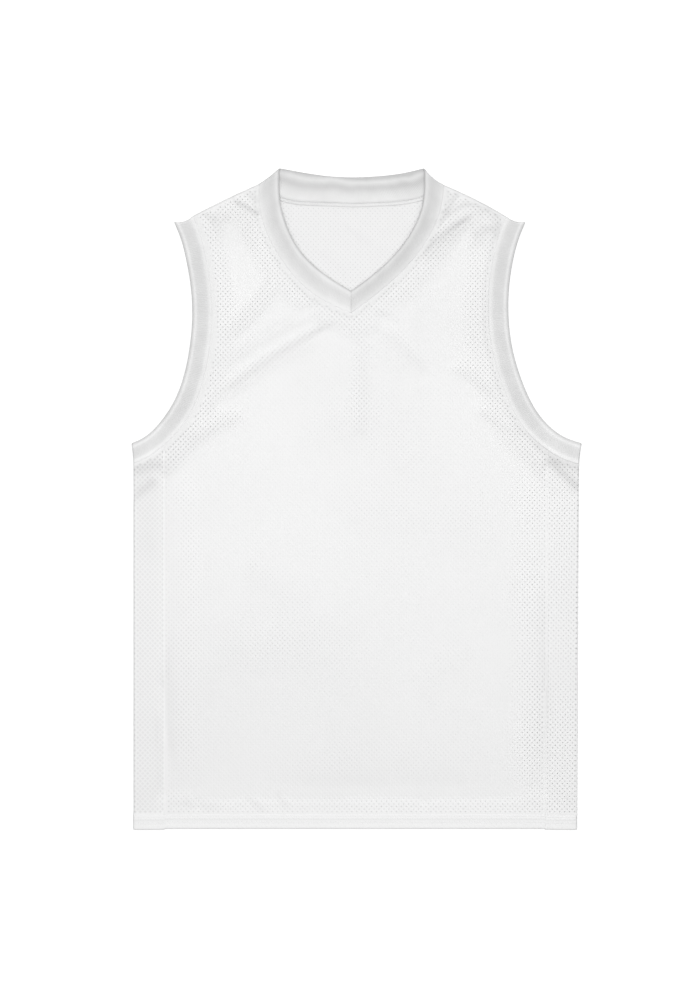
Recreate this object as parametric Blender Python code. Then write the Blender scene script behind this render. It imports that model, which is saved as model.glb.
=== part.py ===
"""Basketball jersey, laid flat with its front upwards.

Every piece is a closed cloth solid with a thin wall. The jersey is a flattened tube: the back lies
on the ground, the front lies on the back, and the cloth turns over at the sides, at the shoulders
and at the two corners of the neck. Ribbed bands finish the armholes and the neck.

Lengths are in millimetres until a mesh is written, which is in metres. x runs towards the wearer's
left, y from the hem up to the neck, z up from the ground. "out" is the distance from x = 0 towards
either side.
"""
import math

import bpy
import numpy as np

# ---------------------------------------------------------------------------------- driving sizes
MM = 0.001
LENGTH = 740.7            # hem to the highest point of the neck
MESH_WALL = 1.0           # knitted mesh of the panels
RIB_WALL = 2.0            # doubled rib of the bands and the collar
HEM_WALL = 2.0            # mesh turned up and stitched
HEM_DEPTH = 16.0
TAPE_WALL = 0.8
TAPE_WIDTH = 4.0
SEAM_GAP = 0.3            # space between two pieces at a seam
LAYER_GAP = 0.3           # space between two pieces that lie on each other
ARMBAND_WIDTH = 22.5
PANEL_HEM_UP = 1.1        # front and back end a little above the side panels
CENTRE_HEM_X = -1.8       # the centre line leans a little between the hem and the V
CENTRE_V_X = -6.3

# Heights of the front's outer face over the ground.
REST_TOP = 2.6            # the front in near contact with the back
FOLD_TOP = 4.8            # where the cloth turns over: two ribs, or a soft roll of mesh
V_TOP = 3.7               # the collar at the point of the V, on a single layer of mesh
HEM_TOP = 4.6
TURN_INSET = 2.8          # how far inside the outline the turn starts
SHOULDER_FLAP = 6.0       # the front's cloth that lies under the back of the shoulder

SIDES = {"right": -1.0, "left": 1.0}     # as worn

# Free edge of the armhole bands, from the shoulder tip to the underarm tip.
# station, up, right out, left out
ARMHOLE = (
    ("shoulder tip", 680.5, 204.5, 189.2),
    ("shoulder", 663.0, 197.3, 182.0),
    ("upper", 638.0, 190.7, 175.2),
    ("chest", 602.5, 185.1, 170.3),
    ("deepest", 570.5, 184.1, 170.2),
    ("lower chest", 537.0, 187.4, 174.7),
    ("lower", 503.5, 194.8, 184.6),
    ("curve", 481.0, 203.6, 194.2),
    ("hollow", 458.5, 218.0, 209.0),
    ("underarm", 438.5, 239.0, 234.5),
    ("underarm tip", 432.5, 252.1, 252.1),
)

# Where the band's inner seam meets the turned edges, and how far those edges bow out (or in).
# side, shoulder out, shoulder up, underarm out, underarm up, band bow, panel bow, collar bow
CORNERS = {
    "right": (183.2, 687.2, 249.8, 409.6, -2.6, 0.8, -0.6),
    "left": (167.6, 686.5, 249.0, 409.0, -2.2, 1.5, -2.0),
}

# Front of the collar, from the point of the V to the corner of the neck.
# station, right edge out and up, right seam out and up, then the same for the left
COLLAR_FRONT = (
    ("point", 6.3, 603.1, 6.3, 575.7, -6.3, 603.1, -6.3, 575.7),
    ("low", 36.2, 622.2, 51.6, 599.0, 17.8, 620.9, 31.6, 604.8),
    ("middle", 62.3, 646.8, 84.5, 634.5, 46.1, 647.9, 65.6, 638.4),
    ("high", 77.4, 673.7, 101.5, 664.0, 63.2, 672.6, 82.6, 662.4),
    ("side", 85.8, 706.2, 111.3, 700.0, 73.8, 700.6, 97.2, 698.3),
    ("corner", 86.4, 740.7, 111.6, 721.2, 75.5, 740.7, 100.1, 720.0),
)

# Back of the collar, from the right corner of the neck to the left one.
# station, edge x and y, seam x and y
COLLAR_BACK = (
    ("right corner", -86.4, 740.7, -111.6, 721.2),
    ("right", -63.4, 736.4, -77.5, 705.4),
    ("right centre", -36.0, 732.3, -41.5, 702.1),
    ("centre", -5.2, 730.5, -5.2, 700.9),
    ("left centre", 26.0, 731.9, 30.0, 702.0),
    ("left", 52.4, 735.2, 65.0, 705.9),
    ("left corner", 75.5, 740.7, 100.1, 720.0),
)

# Side edges and the seams of the side panels, by height.
# up, right fold out, right seam out, left fold out, left seam out
SIDE_LINES = (
    (0.0, 250.4, 215.0, 247.0, 211.0),
    (150.0, 250.4, 215.0, 247.9, 212.2),
    (320.0, 250.4, 215.1, 248.4, 213.6),
    (410.0, 249.8, 215.1, 249.0, 214.3),
)

# Largest folds of the front: a line from start to end with a sideways bow. A ridge stands up by
# its height and a trough sinks; width is the half width at which it has faded to a third.
# name, start x, start y, end x, end y, bow, height, width
FOLDS = (
    ("drag from V, ridge over", -40.0, 588.0, -168.0, 507.0, -6.0, 2.3, 9.0),
    ("drag from V, trough", -18.0, 580.0, -170.0, 488.0, -7.0, -1.2, 6.0),
    ("drag from V, ridge under", -12.0, 563.0, -176.0, 462.0, -8.0, 2.0, 10.0),
    ("right chest, ridge", -86.0, 622.0, -158.0, 546.0, 7.0, 1.8, 8.0),
    ("right shoulder, ridge", -148.0, 708.0, -106.0, 676.0, 4.0, 1.8, 6.0),
    ("right shoulder, low ridge", -176.0, 688.0, -140.0, 660.0, 2.0, 1.3, 6.0),
    ("left shoulder, long ridge", 78.0, 634.0, 138.0, 690.0, 8.0, 2.8, 8.0),
    ("left shoulder, high ridge", 86.0, 672.0, 154.0, 690.0, 12.0, 2.4, 6.0),
    ("left shoulder, low ridge", 120.0, 652.0, 166.0, 678.0, 2.0, 1.4, 7.0),
    ("left drag, ridge over", 20.0, 580.0, 92.0, 500.0, 3.0, 1.5, 7.0),
    ("left drag, ridge under", 2.0, 560.0, 66.0, 488.0, 3.0, 1.4, 8.0),
    ("left armhole, ridge", 96.0, 530.0, 174.0, 484.0, 4.0, 1.9, 9.0),
    ("left armhole, low ridge", 120.0, 478.0, 196.0, 436.0, 4.0, 1.7, 9.0),
    ("right armhole, low ridge", -118.0, 470.0, -206.0, 430.0, -4.0, 1.5, 10.0),
    ("left underarm, ridge", 186.0, 452.0, 242.0, 372.0, -5.0, 2.0, 9.0),
    ("right underarm, ridge", -192.0, 448.0, -246.0, 378.0, 5.0, 1.6, 9.0),
    ("right side, hollow", -221.0, 190.0, -219.0, 40.0, 3.0, -1.2, 9.0),
    ("right side, ridge", -204.0, 240.0, -206.0, 60.0, -3.0, 1.2, 11.0),
    ("left side, ridge", 205.0, 300.0, 200.0, 70.0, 4.0, 1.2, 11.0),
    ("waist, ridge", -150.0, 318.0, -20.0, 250.0, -8.0, 1.2, 18.0),
    ("lower front, ridge", 150.0, 236.0, 30.0, 140.0, 8.0, 1.2, 18.0),
    ("chest, swell", -70.0, 470.0, 110.0, 400.0, 12.0, 0.6, 42.0),
    ("waist, swell", 190.0, 330.0, -60.0, 350.0, -16.0, 0.5, 36.0),
    ("hip, swell", -190.0, 180.0, 40.0, 210.0, 14.0, 0.6, 40.0),
    ("hem, swell", -120.0, 70.0, 170.0, 80.0, -10.0, 0.5, 30.0),
)

# ------------------------------------------------------------------------------- how finely to cut
HEM_ROWS = (0.0, 1.0, HEM_DEPTH - 0.6, HEM_DEPTH + 0.6, 27.0, 39.0, 56.0)
HEM_WALL_ROWS = 3         # the first rows, over the turned-up hem
BODY_ROWS = 17            # hem to underarm
CHEST_ROWS = 18           # underarm to the point of the V
SHOULDER_ROWS = 22        # the V to the shoulder
PANEL_COLUMNS = 18        # half a front
BACK_COLUMNS = 6
UNDERARM_STEPS = 4        # side panel seam to the turned side
TURN_STEPS = 5
BACK_NECK_STEPS = 16
CENTRE_UNDERARM = 424.0   # height on the centre line of the row that meets the underarm corner
NECK_MIDDLE_SHARE = 0.5
BAND_COLUMNS = (0.0, 0.035, 0.35, 0.68, 1.0)
EDGE_ROUND = 0.55         # a folded rib edge is rounded by this much on each face


# ------------------------------------------------------------------------------------ small tools
def smooth(x):
    """Smooth step from 0 to 1, flat at both ends."""
    x = np.clip(x, 0.0, 1.0)
    return x * x * (3.0 - 2.0 * x)


def unit(v):
    return v / np.linalg.norm(v, axis=-1, keepdims=True)


def lerp(a, b, w):
    return a + (b - a) * w


def curve(points):
    """Natural cubic spline through the points, as a function of the share of its length."""
    p = np.array(points, dtype=float)
    knots = np.concatenate([[0.0], np.cumsum(np.linalg.norm(np.diff(p, axis=0), axis=1))])
    step = np.diff(knots)
    count = len(p)
    matrix = np.eye(count)
    bend = np.zeros_like(p)
    for i in range(1, count - 1):
        matrix[i, i - 1:i + 2] = step[i - 1], 2.0 * (step[i - 1] + step[i]), step[i]
        bend[i] = 6.0 * ((p[i + 1] - p[i]) / step[i] - (p[i] - p[i - 1]) / step[i - 1])
    second = np.linalg.solve(matrix, bend)

    def at(share):
        s = np.atleast_1d(np.asarray(share, dtype=float)) * knots[-1]
        i = np.clip(np.searchsorted(knots, s, side="right") - 1, 0, count - 2)
        h = step[i][:, None]
        a = ((knots[i + 1] - s) / step[i])[:, None]
        b = 1.0 - a
        cubic = (a ** 3 - a) * second[i] + (b ** 3 - b) * second[i + 1]
        return a * p[i] + b * p[i + 1] + cubic * h * h / 6.0

    at.length = knots[-1]
    return at


def mirrored(points, side):
    """(out, up) pairs to (x, y)."""
    return np.asarray(points, dtype=float) * np.array([SIDES[side], 1.0])


def column(table, side, right, left):
    return [row[right if side == "right" else left] for row in table]


# --------------------------------------------------------------------- outline of the armhole band
def armhole_curve(side):
    outs = column(ARMHOLE, side, 2, 3)
    return curve([(out, row[1]) for out, row in zip(outs, ARMHOLE)])


def armhole_line(side, share):
    """Edge points and the vectors that lead from them across the band to its inner seam."""
    edge = armhole_curve(side)
    share = np.atleast_1d(share)
    near = 0.002
    ahead, behind = np.clip(share + near, 0, 1), np.clip(share - near, 0, 1)
    along = unit(edge(ahead) - edge(behind))
    across = np.stack([along[:, 1], -along[:, 0]], axis=1) * ARMBAND_WIDTH
    corner = CORNERS[side]
    top = np.array(corner[0:2]) - edge(0.0)[0]
    bottom = np.array(corner[2:4]) - edge(1.0)[0]
    to_top = smooth((0.12 - share) / 0.12)[:, None]
    to_bottom = smooth((share - 0.80) / 0.20)[:, None]
    across = lerp(lerp(across, top, to_top), bottom, to_bottom)
    return edge(share), across


def armhole_seam(side, share, gap):
    """Inner seam of the band, moved further in by the gap."""
    edge, across = armhole_line(side, share)
    return edge + across + unit(across) * gap


def side_lines(side, up):
    """How far out the turned side and the side seam lie at each height."""
    heights = [row[0] for row in SIDE_LINES]
    fold = np.interp(up, heights, column(SIDE_LINES, side, 1, 3))
    seam = np.interp(up, heights, column(SIDE_LINES, side, 2, 4))
    return fold, seam


def corner_share(side, offset):
    """Where the armhole seam crosses the side seam, moved out by the offset."""
    low, high = 0.55, 1.0
    for _ in range(40):
        mid = 0.5 * (low + high)
        point = armhole_seam(side, mid, SEAM_GAP)[0]
        if point[0] < side_lines(side, point[1])[1] + offset:
            low = mid
        else:
            high = mid
    return 0.5 * (low + high)


def armhole_inset(side):
    """Share of the armhole curve that the turn takes at each end."""
    return TURN_INSET / armhole_curve(side).length


# ----------------------------------------------------------------------------- outline of the neck
def front_neck(side, which):
    """Front collar's free edge or seam, from the point of the V up."""
    first = {"edge": (1, 5), "seam": (3, 7)}[which]
    k = first[0] if side == "right" else first[1]
    return curve([(row[k], row[k + 1]) for row in COLLAR_FRONT])


def back_neck(which):
    k = 1 if which == "edge" else 3
    return curve([(row[k], row[k + 1]) for row in COLLAR_BACK])


def pair_at(edge, seam, share, inset_start, inset_end, gap=0.0):
    """Matching edge and seam points, each cut back by an inset in millimetres at its ends."""
    share = np.atleast_1d(share)
    spans = []
    for line in (edge, seam):
        a, b = inset_start / line.length, 1.0 - inset_end / line.length
        spans.append(line(lerp(a, b, share)))
    across = unit(spans[1] - spans[0])
    return spans[0], spans[1] + across * gap


def front_neck_pair(side, share, gap=0.0):
    """The right and left halves stand half a seam gap off the mitre at the point of the V."""
    e, s = pair_at(front_neck(side, "edge"), front_neck(side, "seam"), share, 0.0, TURN_INSET, gap)
    return mirrored(e, side), mirrored(s, side)


def front_neck_corner(side, gap=0.0):
    e, s = pair_at(front_neck(side, "edge"), front_neck(side, "seam"), 1.0, 0.0, 0.0, gap)
    return mirrored(e, side)[0], mirrored(s, side)[0]


def back_neck_pair(share, gap=0.0, inset=TURN_INSET):
    return pair_at(back_neck("edge"), back_neck("seam"), share, inset, inset, gap)


# ------------------------------------------------------------------------- height of the front
def supports():
    """Lines that hold the front up: points, lift over REST_TOP at each, flat width and reach."""
    lines = []
    share = np.linspace(0.0, 1.0, 70)
    for side in SIDES:
        edge = mirrored(armhole_curve(side)(share), side)
        lines.append((edge, np.full(len(edge), FOLD_TOP - REST_TOP), ARMBAND_WIDTH + 3.0, 34.0))
        up = np.linspace(0.0, 430.0, 60)
        fold = mirrored(np.stack([side_lines(side, up)[0], up], axis=1), side)
        lines.append((fold, np.full(len(fold), FOLD_TOP - REST_TOP), 6.0, 38.0))
        corner = mirrored([CORNERS[side][0:2]], side)[0]
        neck_end = front_neck_corner(side)[1]
        top = lerp(corner, neck_end, np.linspace(0, 1, 12)[:, None])
        lines.append((top, np.full(len(top), FOLD_TOP - REST_TOP), 7.0, 34.0))
        rise = smooth(np.linspace(0.0, 1.0, 40) / 0.75)
        middle = mirrored(0.5 * (front_neck(side, "edge")(np.linspace(0, 1, 40))
                                 + front_neck(side, "seam")(np.linspace(0, 1, 40))), side)
        lines.append((middle, lerp(V_TOP, FOLD_TOP, rise) - REST_TOP, 17.0, 30.0))
    return lines


SUPPORTS = supports()


def fold_lift(points):
    """Sum of the folds at the points."""
    lift = np.zeros(len(points))
    for _, x0, y0, x1, y1, bow, height, width in FOLDS:
        start, run = np.array([x0, y0]), np.array([x1 - x0, y1 - y0])
        length = np.linalg.norm(run)
        along = (points - start) @ run / length ** 2
        off = (points - start) @ np.array([-run[1], run[0]]) / length
        off = off - bow * 4.0 * along * (1.0 - along)
        fade = smooth(along / 0.3) * smooth((1.0 - along) / 0.35)
        lift += height * fade * np.exp(-(off / width) ** 2)
    return lift


def front_top(points, least=REST_TOP - 0.1):
    """Height of the front's outer face over the ground at (x, y) points."""
    points = np.atleast_2d(points)
    power = np.zeros(len(points))
    for line, lift, flat, reach in SUPPORTS:
        far = np.linalg.norm(points[:, None, :] - line[None], axis=2)
        held = lift[None] * smooth(1.0 - (far - flat) / reach)
        power += held.max(axis=1) ** 5
    hem = (HEM_TOP - REST_TOP) * smooth(1.0 - (points[:, 1] - HEM_DEPTH - 2.0) / 30.0)
    power += hem ** 5
    return np.maximum(REST_TOP + power ** 0.2 + fold_lift(points), least)


# --------------------------------------------------------------------------------- building sheets
# A sheet is a grid of outer points with the outward direction at each, the wall's thickness and
# how far each face is drawn in at a rounded edge.
def face_up(plan, least=REST_TOP - 0.1):
    """Points and outward directions on the front for a grid of (x, y)."""
    flat = plan.reshape(-1, 2)
    point = np.column_stack([flat, front_top(flat, least)]).reshape(plan.shape[:-1] + (3,))
    return point, np.broadcast_to([0.0, 0.0, 1.0], point.shape).copy()


def face_down(plan):
    """Points and outward directions on the back, whose outer face lies on the ground."""
    point = np.concatenate([plan, np.zeros(plan.shape[:-1] + (1,))], axis=-1)
    return point, np.broadcast_to([0.0, 0.0, -1.0], point.shape).copy()


def turn(front, fold, back, top, steps=TURN_STEPS):
    """Rows between a front row and a back row, round a turned edge.

    front, fold and back are rows of (x, y); top is the outer height of the front row.
    """
    bulge = fold - 0.5 * (front + back)
    out = unit(bulge)
    points, normals = [], []
    for k in range(1, steps):
        angle = math.pi * k / steps
        plan = lerp(front, back, k / steps) + bulge * math.sin(angle)
        height = 0.5 * top * (1.0 + math.cos(angle))
        points.append(np.column_stack([plan, height]))
        level = np.full(len(plan), math.cos(angle))
        normals.append(np.column_stack([out * math.sin(angle), level]))
    return np.array(points), np.array(normals)


def add_solid(name, colour, sheets):
    """One closed solid from sheets of (points, outward, wall, draw_in), welded where they meet."""
    outer, inner, quads = [], [], []
    for point, outward, wall, draw_in in sheets:
        rows, cols = point.shape[:2]
        start = sum(len(part) for part in outer)
        wall = np.broadcast_to(np.asarray(wall, dtype=float), (rows, cols))[..., None]
        draw_in = np.broadcast_to(np.asarray(draw_in, dtype=float), (rows, cols))[..., None]
        outer.append((point - outward * draw_in).reshape(-1, 3))
        inner.append((point - outward * (wall - draw_in)).reshape(-1, 3))
        r, c = np.meshgrid(np.arange(rows - 1), np.arange(cols - 1), indexing="ij")
        a = (start + r * cols + c).ravel()
        grid = np.stack([a, a + 1, a + 1 + cols, a + cols], axis=1)
        p = point.reshape(-1, 3)
        facing = np.cross(p[grid[:, 1] - start] - p[grid[:, 0] - start],
                          p[grid[:, 3] - start] - p[grid[:, 0] - start])
        if (facing * outward.reshape(-1, 3)[grid[:, 0] - start]).sum() < 0.0:
            grid = grid[:, ::-1]
        quads.append(grid)
    outer, inner, quads = np.vstack(outer), np.vstack(inner), np.vstack(quads)

    _, first, same = np.unique(np.round(outer, 4), axis=0, return_index=True, return_inverse=True)
    same = same.ravel()
    outer, inner, quads = outer[first], inner[first], same[quads]
    count = len(outer)
    faces = [tuple(q) for q in quads] + [tuple(q[::-1] + count) for q in quads]
    edges = {}
    for q in quads:
        for a, b in zip(q, np.roll(q, -1)):
            edges[(a, b)] = edges.get((a, b), 0) + 1
    for a, b in edges:
        if (b, a) not in edges:
            faces.append((b, a, a + count, b + count))
    triangles = [t for f in faces for t in ((f[1], f[2], f[3]), (f[1], f[3], f[0]))]

    points = np.vstack([outer, inner]) - np.array([0.0, LENGTH / 2.0, 0.0])
    mesh = bpy.data.meshes.new(name)
    mesh.from_pydata((points * MM).tolist(), [], [tuple(int(i) for i in t) for t in triangles])
    mesh.update()
    solid = bpy.data.objects.new(name, mesh)
    bpy.context.collection.objects.link(solid)
    material = bpy.data.materials.new(name)
    material.use_nodes = True
    shader = material.node_tree.nodes["Principled BSDF"]
    shader.inputs["Base Color"].default_value = (*colour, 1.0)
    shader.inputs["Roughness"].default_value = 0.85
    mesh.materials.append(material)
    return solid


def panel_wall(rows, columns):
    """Mesh wall, thicker over the turned-up hem."""
    wall = np.full((rows, columns), MESH_WALL)
    wall[:HEM_WALL_ROWS] = HEM_WALL
    return wall


def hem_round(rows, columns):
    """The hem's lower edge is a soft fold."""
    draw_in = np.zeros((rows, columns))
    draw_in[0] = EDGE_ROUND
    return draw_in


# -------------------------------------------------------------------------------------- the pieces
def body_heights(top, hem_up=PANEL_HEM_UP):
    """Heights of the rows from the hem to the underarm."""
    rest = np.linspace(HEM_ROWS[-1], top, BODY_ROWS)[1:]
    return np.concatenate([np.array(HEM_ROWS) + hem_up, rest])


def panel_outer_edge(side, heights, shares):
    """Side seam up to the underarm corner, then the armhole seam, as (x, y)."""
    seam = side_lines(side, heights)[1] - 0.5 * SEAM_GAP
    straight = np.stack([seam, heights], axis=1)
    return mirrored(np.vstack([straight, armhole_seam(side, shares, SEAM_GAP)]), side)


def centre_line(up):
    x = lerp(CENTRE_HEM_X, CENTRE_V_X, np.asarray(up) / COLLAR_FRONT[0][4])
    return np.stack([x, np.asarray(up, dtype=float)], axis=1)


def build_front_panel():
    sheets = []
    across = np.linspace(0.0, 1.0, PANEL_COLUMNS + 1)[None, :, None]
    v_up = COLLAR_FRONT[0][4] - 1.3 * SEAM_GAP
    for side in SIDES:
        corner = corner_share(side, -0.5 * SEAM_GAP)
        top = armhole_inset(side)
        corner_up = armhole_seam(side, corner, SEAM_GAP)[0, 1]
        heights = body_heights(corner_up)[:-1]
        shares = np.linspace(corner, top, CHEST_ROWS + SHOULDER_ROWS + 1)
        outer = panel_outer_edge(side, heights, shares)
        centre_ups = np.concatenate([
            body_heights(CENTRE_UNDERARM)[:-1],
            np.linspace(CENTRE_UNDERARM, v_up, CHEST_ROWS + 1)])
        neck = front_neck_pair(side, np.linspace(0, 1, SHOULDER_ROWS + 1)[1:], SEAM_GAP)[1]
        inner = np.vstack([centre_line(centre_ups), neck])
        plan = lerp(inner[:, None], outer[:, None], across)
        points, normals = face_up(plan)

        share = across[0]
        corner_in = front_neck_corner(side, SEAM_GAP)[1]
        corner_out = mirrored(armhole_seam(side, 0.0, SEAM_GAP), side)[0]
        outward = unit(np.array([corner_out[1] - corner_in[1], corner_in[0] - corner_out[0]]))
        outward = outward * np.sign(outward[1])
        bow = CORNERS[side][5] * 4.0 * share * (1.0 - share) * outward
        fold = lerp(corner_in, corner_out, share) + bow
        start = lerp(back_seam_near(side, TURN_INSET), armhole_back_near(side, TURN_INSET), share)
        end = lerp(back_seam_near(side, SHOULDER_FLAP), armhole_back_near(side, SHOULDER_FLAP), share)
        round_points, round_normals = turn(plan[-1], fold, start, points[-1, :, 2])
        flap_points, flap_normals = face_down(np.array([start, end]))
        points = np.concatenate([points, round_points, flap_points])
        normals = np.concatenate([normals, round_normals, flap_normals])
        size = points.shape[:2]
        sheets.append((points, normals, panel_wall(*size), hem_round(*size)))
    add_solid("front_panel", (0.86, 0.86, 0.86), sheets)


def back_seam_near(side, inset):
    """Point on the back neck seam, this far from the corner of the neck."""
    seam = back_neck("seam")
    share = inset / seam.length
    share = share if side == "right" else 1.0 - share
    return pair_at(back_neck("edge"), seam, share, 0.0, 0.0, SEAM_GAP)[1][0]


def armhole_back_near(side, inset):
    """Point on the armhole seam, this far below the shoulder."""
    share = inset / armhole_curve(side).length
    return mirrored(armhole_seam(side, share, SEAM_GAP), side)[0]


def build_back_panel():
    sheets = []
    across = np.linspace(0.0, 1.0, BACK_COLUMNS + 1)[None, :, None]
    rows = CHEST_ROWS + SHOULDER_ROWS
    start = SHOULDER_FLAP + SEAM_GAP
    for side in SIDES:
        corner = corner_share(side, -0.5 * SEAM_GAP)
        top = start / armhole_curve(side).length
        corner_up = armhole_seam(side, corner, SEAM_GAP)[0, 1]
        hem = np.array(HEM_ROWS[:4]) + PANEL_HEM_UP
        heights = np.concatenate([hem, np.linspace(HEM_ROWS[4], corner_up, 6)[:-1]])
        shares = np.linspace(corner, top, rows + 1)
        outer = panel_outer_edge(side, heights, shares)
        seam = back_neck("seam")
        middle = NECK_MIDDLE_SHARE
        near = start / seam.length
        near = near if side == "right" else 1.0 - near
        half = BACK_NECK_STEPS // 2
        neck = pair_at(back_neck("edge"), seam, np.linspace(middle, near, half + 1), 0, 0, SEAM_GAP)[1]
        centre_up = neck[0, 1]
        below = len(outer) - half - 1
        ups = np.concatenate([hem, np.linspace(HEM_ROWS[4], centre_up, below - 4 + 1)[:-1]])
        centre = np.stack([lerp(CENTRE_HEM_X, neck[0, 0], ups / centre_up), ups], axis=1)
        inner = np.vstack([centre, neck])
        plan = lerp(inner[:, None], outer[:, None], across)
        points, normals = face_down(plan)
        size = points.shape[:2]
        sheets.append((points, normals, panel_wall(*size), hem_round(*size)))
    add_solid("back_panel", (0.86, 0.86, 0.86), sheets)


def build_side_panel(side):
    corner = corner_share(side, 0.5 * SEAM_GAP)
    end = 1.0 - armhole_inset(side)
    rim = armhole_seam(side, np.linspace(corner, end, UNDERARM_STEPS + 1), SEAM_GAP)
    tip = armhole_seam(side, 1.0, SEAM_GAP)[0]
    heights = body_heights(rim[0, 1], 0.0)
    level = heights[-3]
    front, folds = [], []
    for up in heights:
        share = max(0.0, (up - level) / (heights[-1] - level))
        fold, seam = side_lines(side, up)
        fold = lerp(fold, tip[0], smooth(share))
        seam = seam + 0.5 * SEAM_GAP
        place = (rim[:, 0] - rim[0, 0]) / (rim[-1, 0] - rim[0, 0])
        outs = lerp(lerp(seam, fold - TURN_INSET, place), rim[:, 0], share)
        ups = lerp(np.full(len(rim), min(up, level)), rim[:, 1], share)
        front.append(np.stack([outs, ups], axis=1))
        folds.append((fold, lerp(min(up, level), tip[1], share)))
    front = mirrored(np.array(front), side)
    folds = mirrored(np.array(folds), side)
    points, normals = face_up(front)
    turn_points, turn_normals = turn(front[:, -1], folds, front[:, -1], points[:, -1, 2])
    back_points, back_normals = face_down(front[:, ::-1])
    points = np.concatenate([points, turn_points.transpose(1, 0, 2), back_points], axis=1)
    normals = np.concatenate([normals, turn_normals.transpose(1, 0, 2), back_normals], axis=1)
    size = points.shape[:2]
    add_solid(side + "_side_panel", (0.86, 0.86, 0.86),
              [(points, normals, panel_wall(*size), hem_round(*size))])


def band_round(rows):
    """Rounding of a band's free edge, column by column."""
    return np.tile([EDGE_ROUND] + [0.0] * (len(BAND_COLUMNS) - 1), (rows, 1))


def build_armhole_band(side):
    corner = corner_share(side, 0.0)
    inset = armhole_inset(side)
    shares = np.concatenate([
        np.linspace(inset, corner, CHEST_ROWS + SHOULDER_ROWS + 1),
        np.linspace(corner, 1.0 - inset, UNDERARM_STEPS + 1)[1:]])
    width = np.array(BAND_COLUMNS)[None, :, None]

    def plan_at(at):
        edge, across = armhole_line(side, at)
        plan = edge[:, None] + across[:, None] * width
        bow = CORNERS[side][4] * 4.0 * width * (1.0 - width) * smooth(1.0 - at / 0.1)[:, None, None]
        plan = plan + bow * np.array([0.3, 1.0])
        return mirrored(plan, side)

    front = plan_at(shares)
    least = RIB_WALL * 2.0 + LAYER_GAP
    up_points, up_normals = face_up(front, least)
    tip, under = plan_at(np.array([0.0]))[0], plan_at(np.array([1.0]))[0]
    down_points, down_normals = face_down(front[::-1])
    low = turn(front[-1], under, front[-1], up_points[-1, :, 2])
    high = turn(front[0], tip, front[0], up_points[0, :, 2])
    points = np.concatenate([up_points, low[0], down_points, high[0][::-1], up_points[:1]])
    normals = np.concatenate([up_normals, low[1], down_normals, high[1][::-1], up_normals[:1]])
    add_solid(side + "_armhole_band", (0.82, 0.82, 0.82),
              [(points, normals, RIB_WALL, band_round(len(points)))])


def build_neck_collar():
    width = np.array(BAND_COLUMNS)[None, :, None]
    least = MESH_WALL + LAYER_GAP + RIB_WALL

    def front_half(side):
        edge, seam = front_neck_pair(side, np.linspace(0.0, 1.0, SHOULDER_ROWS + 1))
        plan = lerp(edge[:, None], seam[:, None], width)
        plan[0, :, 0] += SIDES[side] * 0.5 * SEAM_GAP
        return plan

    def corner_fold(side):
        edge, seam = front_neck_corner(side)
        line = seam - edge
        outward = unit(np.array([line[1], -line[0]]))
        outward = outward * np.sign(outward[1])
        bow = CORNERS[side][6] * 4.0 * width[0] * (1.0 - width[0]) * outward
        return lerp(edge, seam, width[0]) + bow

    edge, seam = back_neck_pair(np.linspace(0.0, 1.0, BACK_NECK_STEPS + 1))
    back = lerp(edge[:, None], seam[:, None], width)
    right, left = front_half("right"), front_half("left")
    right_points, right_normals = face_up(right, least)
    left_points, left_normals = face_up(left, least)
    back_points, back_normals = face_down(back)
    turn_right = turn(right[-1], corner_fold("right"), back[0], right_points[-1, :, 2])
    turn_left = turn(left[-1], corner_fold("left"), back[-1], left_points[-1, :, 2])
    points = np.concatenate([right_points, turn_right[0], back_points,
                             turn_left[0][::-1], left_points[::-1]])
    normals = np.concatenate([right_normals, turn_right[1], back_normals,
                              turn_left[1][::-1], left_normals[::-1]])
    add_solid("neck_collar", (0.82, 0.82, 0.82),
              [(points, normals, RIB_WALL, band_round(len(points)))])


def build_back_neck_tape():
    """Lies on the inside of the back panel, just below the collar's seam."""
    share = np.linspace(0.09, 0.91, BACK_NECK_STEPS + 1)
    edge, seam = back_neck_pair(share, 0.0, 0.0)
    down = unit(seam - edge)
    rows = [seam + down * (SEAM_GAP + TAPE_WIDTH * w) for w in (0.0, 0.12, 0.88, 1.0)]
    plan = np.stack(rows, axis=1)
    height = MESH_WALL + LAYER_GAP + TAPE_WALL
    points = np.concatenate([plan, np.full(plan.shape[:-1] + (1,), height)], axis=-1)
    normals = np.broadcast_to([0.0, 0.0, 1.0], points.shape)
    edges = np.tile([0.2, 0.0, 0.0, 0.2], (len(share), 1))
    add_solid("back_neck_tape", (0.84, 0.84, 0.84), [(points, normals, TAPE_WALL, edges)])


for old in list(bpy.data.objects):
    bpy.data.objects.remove(old, do_unlink=True)

build_back_panel()
build_back_neck_tape()
build_front_panel()
for wearer_side in SIDES:
    build_side_panel(wearer_side)
    build_armhole_band(wearer_side)
build_neck_collar()
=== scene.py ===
# %% [markdown]
# # A basketball jersey, laid flat
# The CAD model gives the true size of every piece and says where it lies. This notebook dresses
# it: knitted mesh with real eyelets for the body, ribbed bands with a rolled edge, a folded hem
# with its stitching. Each new piece takes the place of one plain CAD solid.

# %% Start from the CAD model
import math

import bpy
import numpy as np
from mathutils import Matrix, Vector, kdtree
from mathutils.geometry import delaunay_2d_cdt


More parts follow.
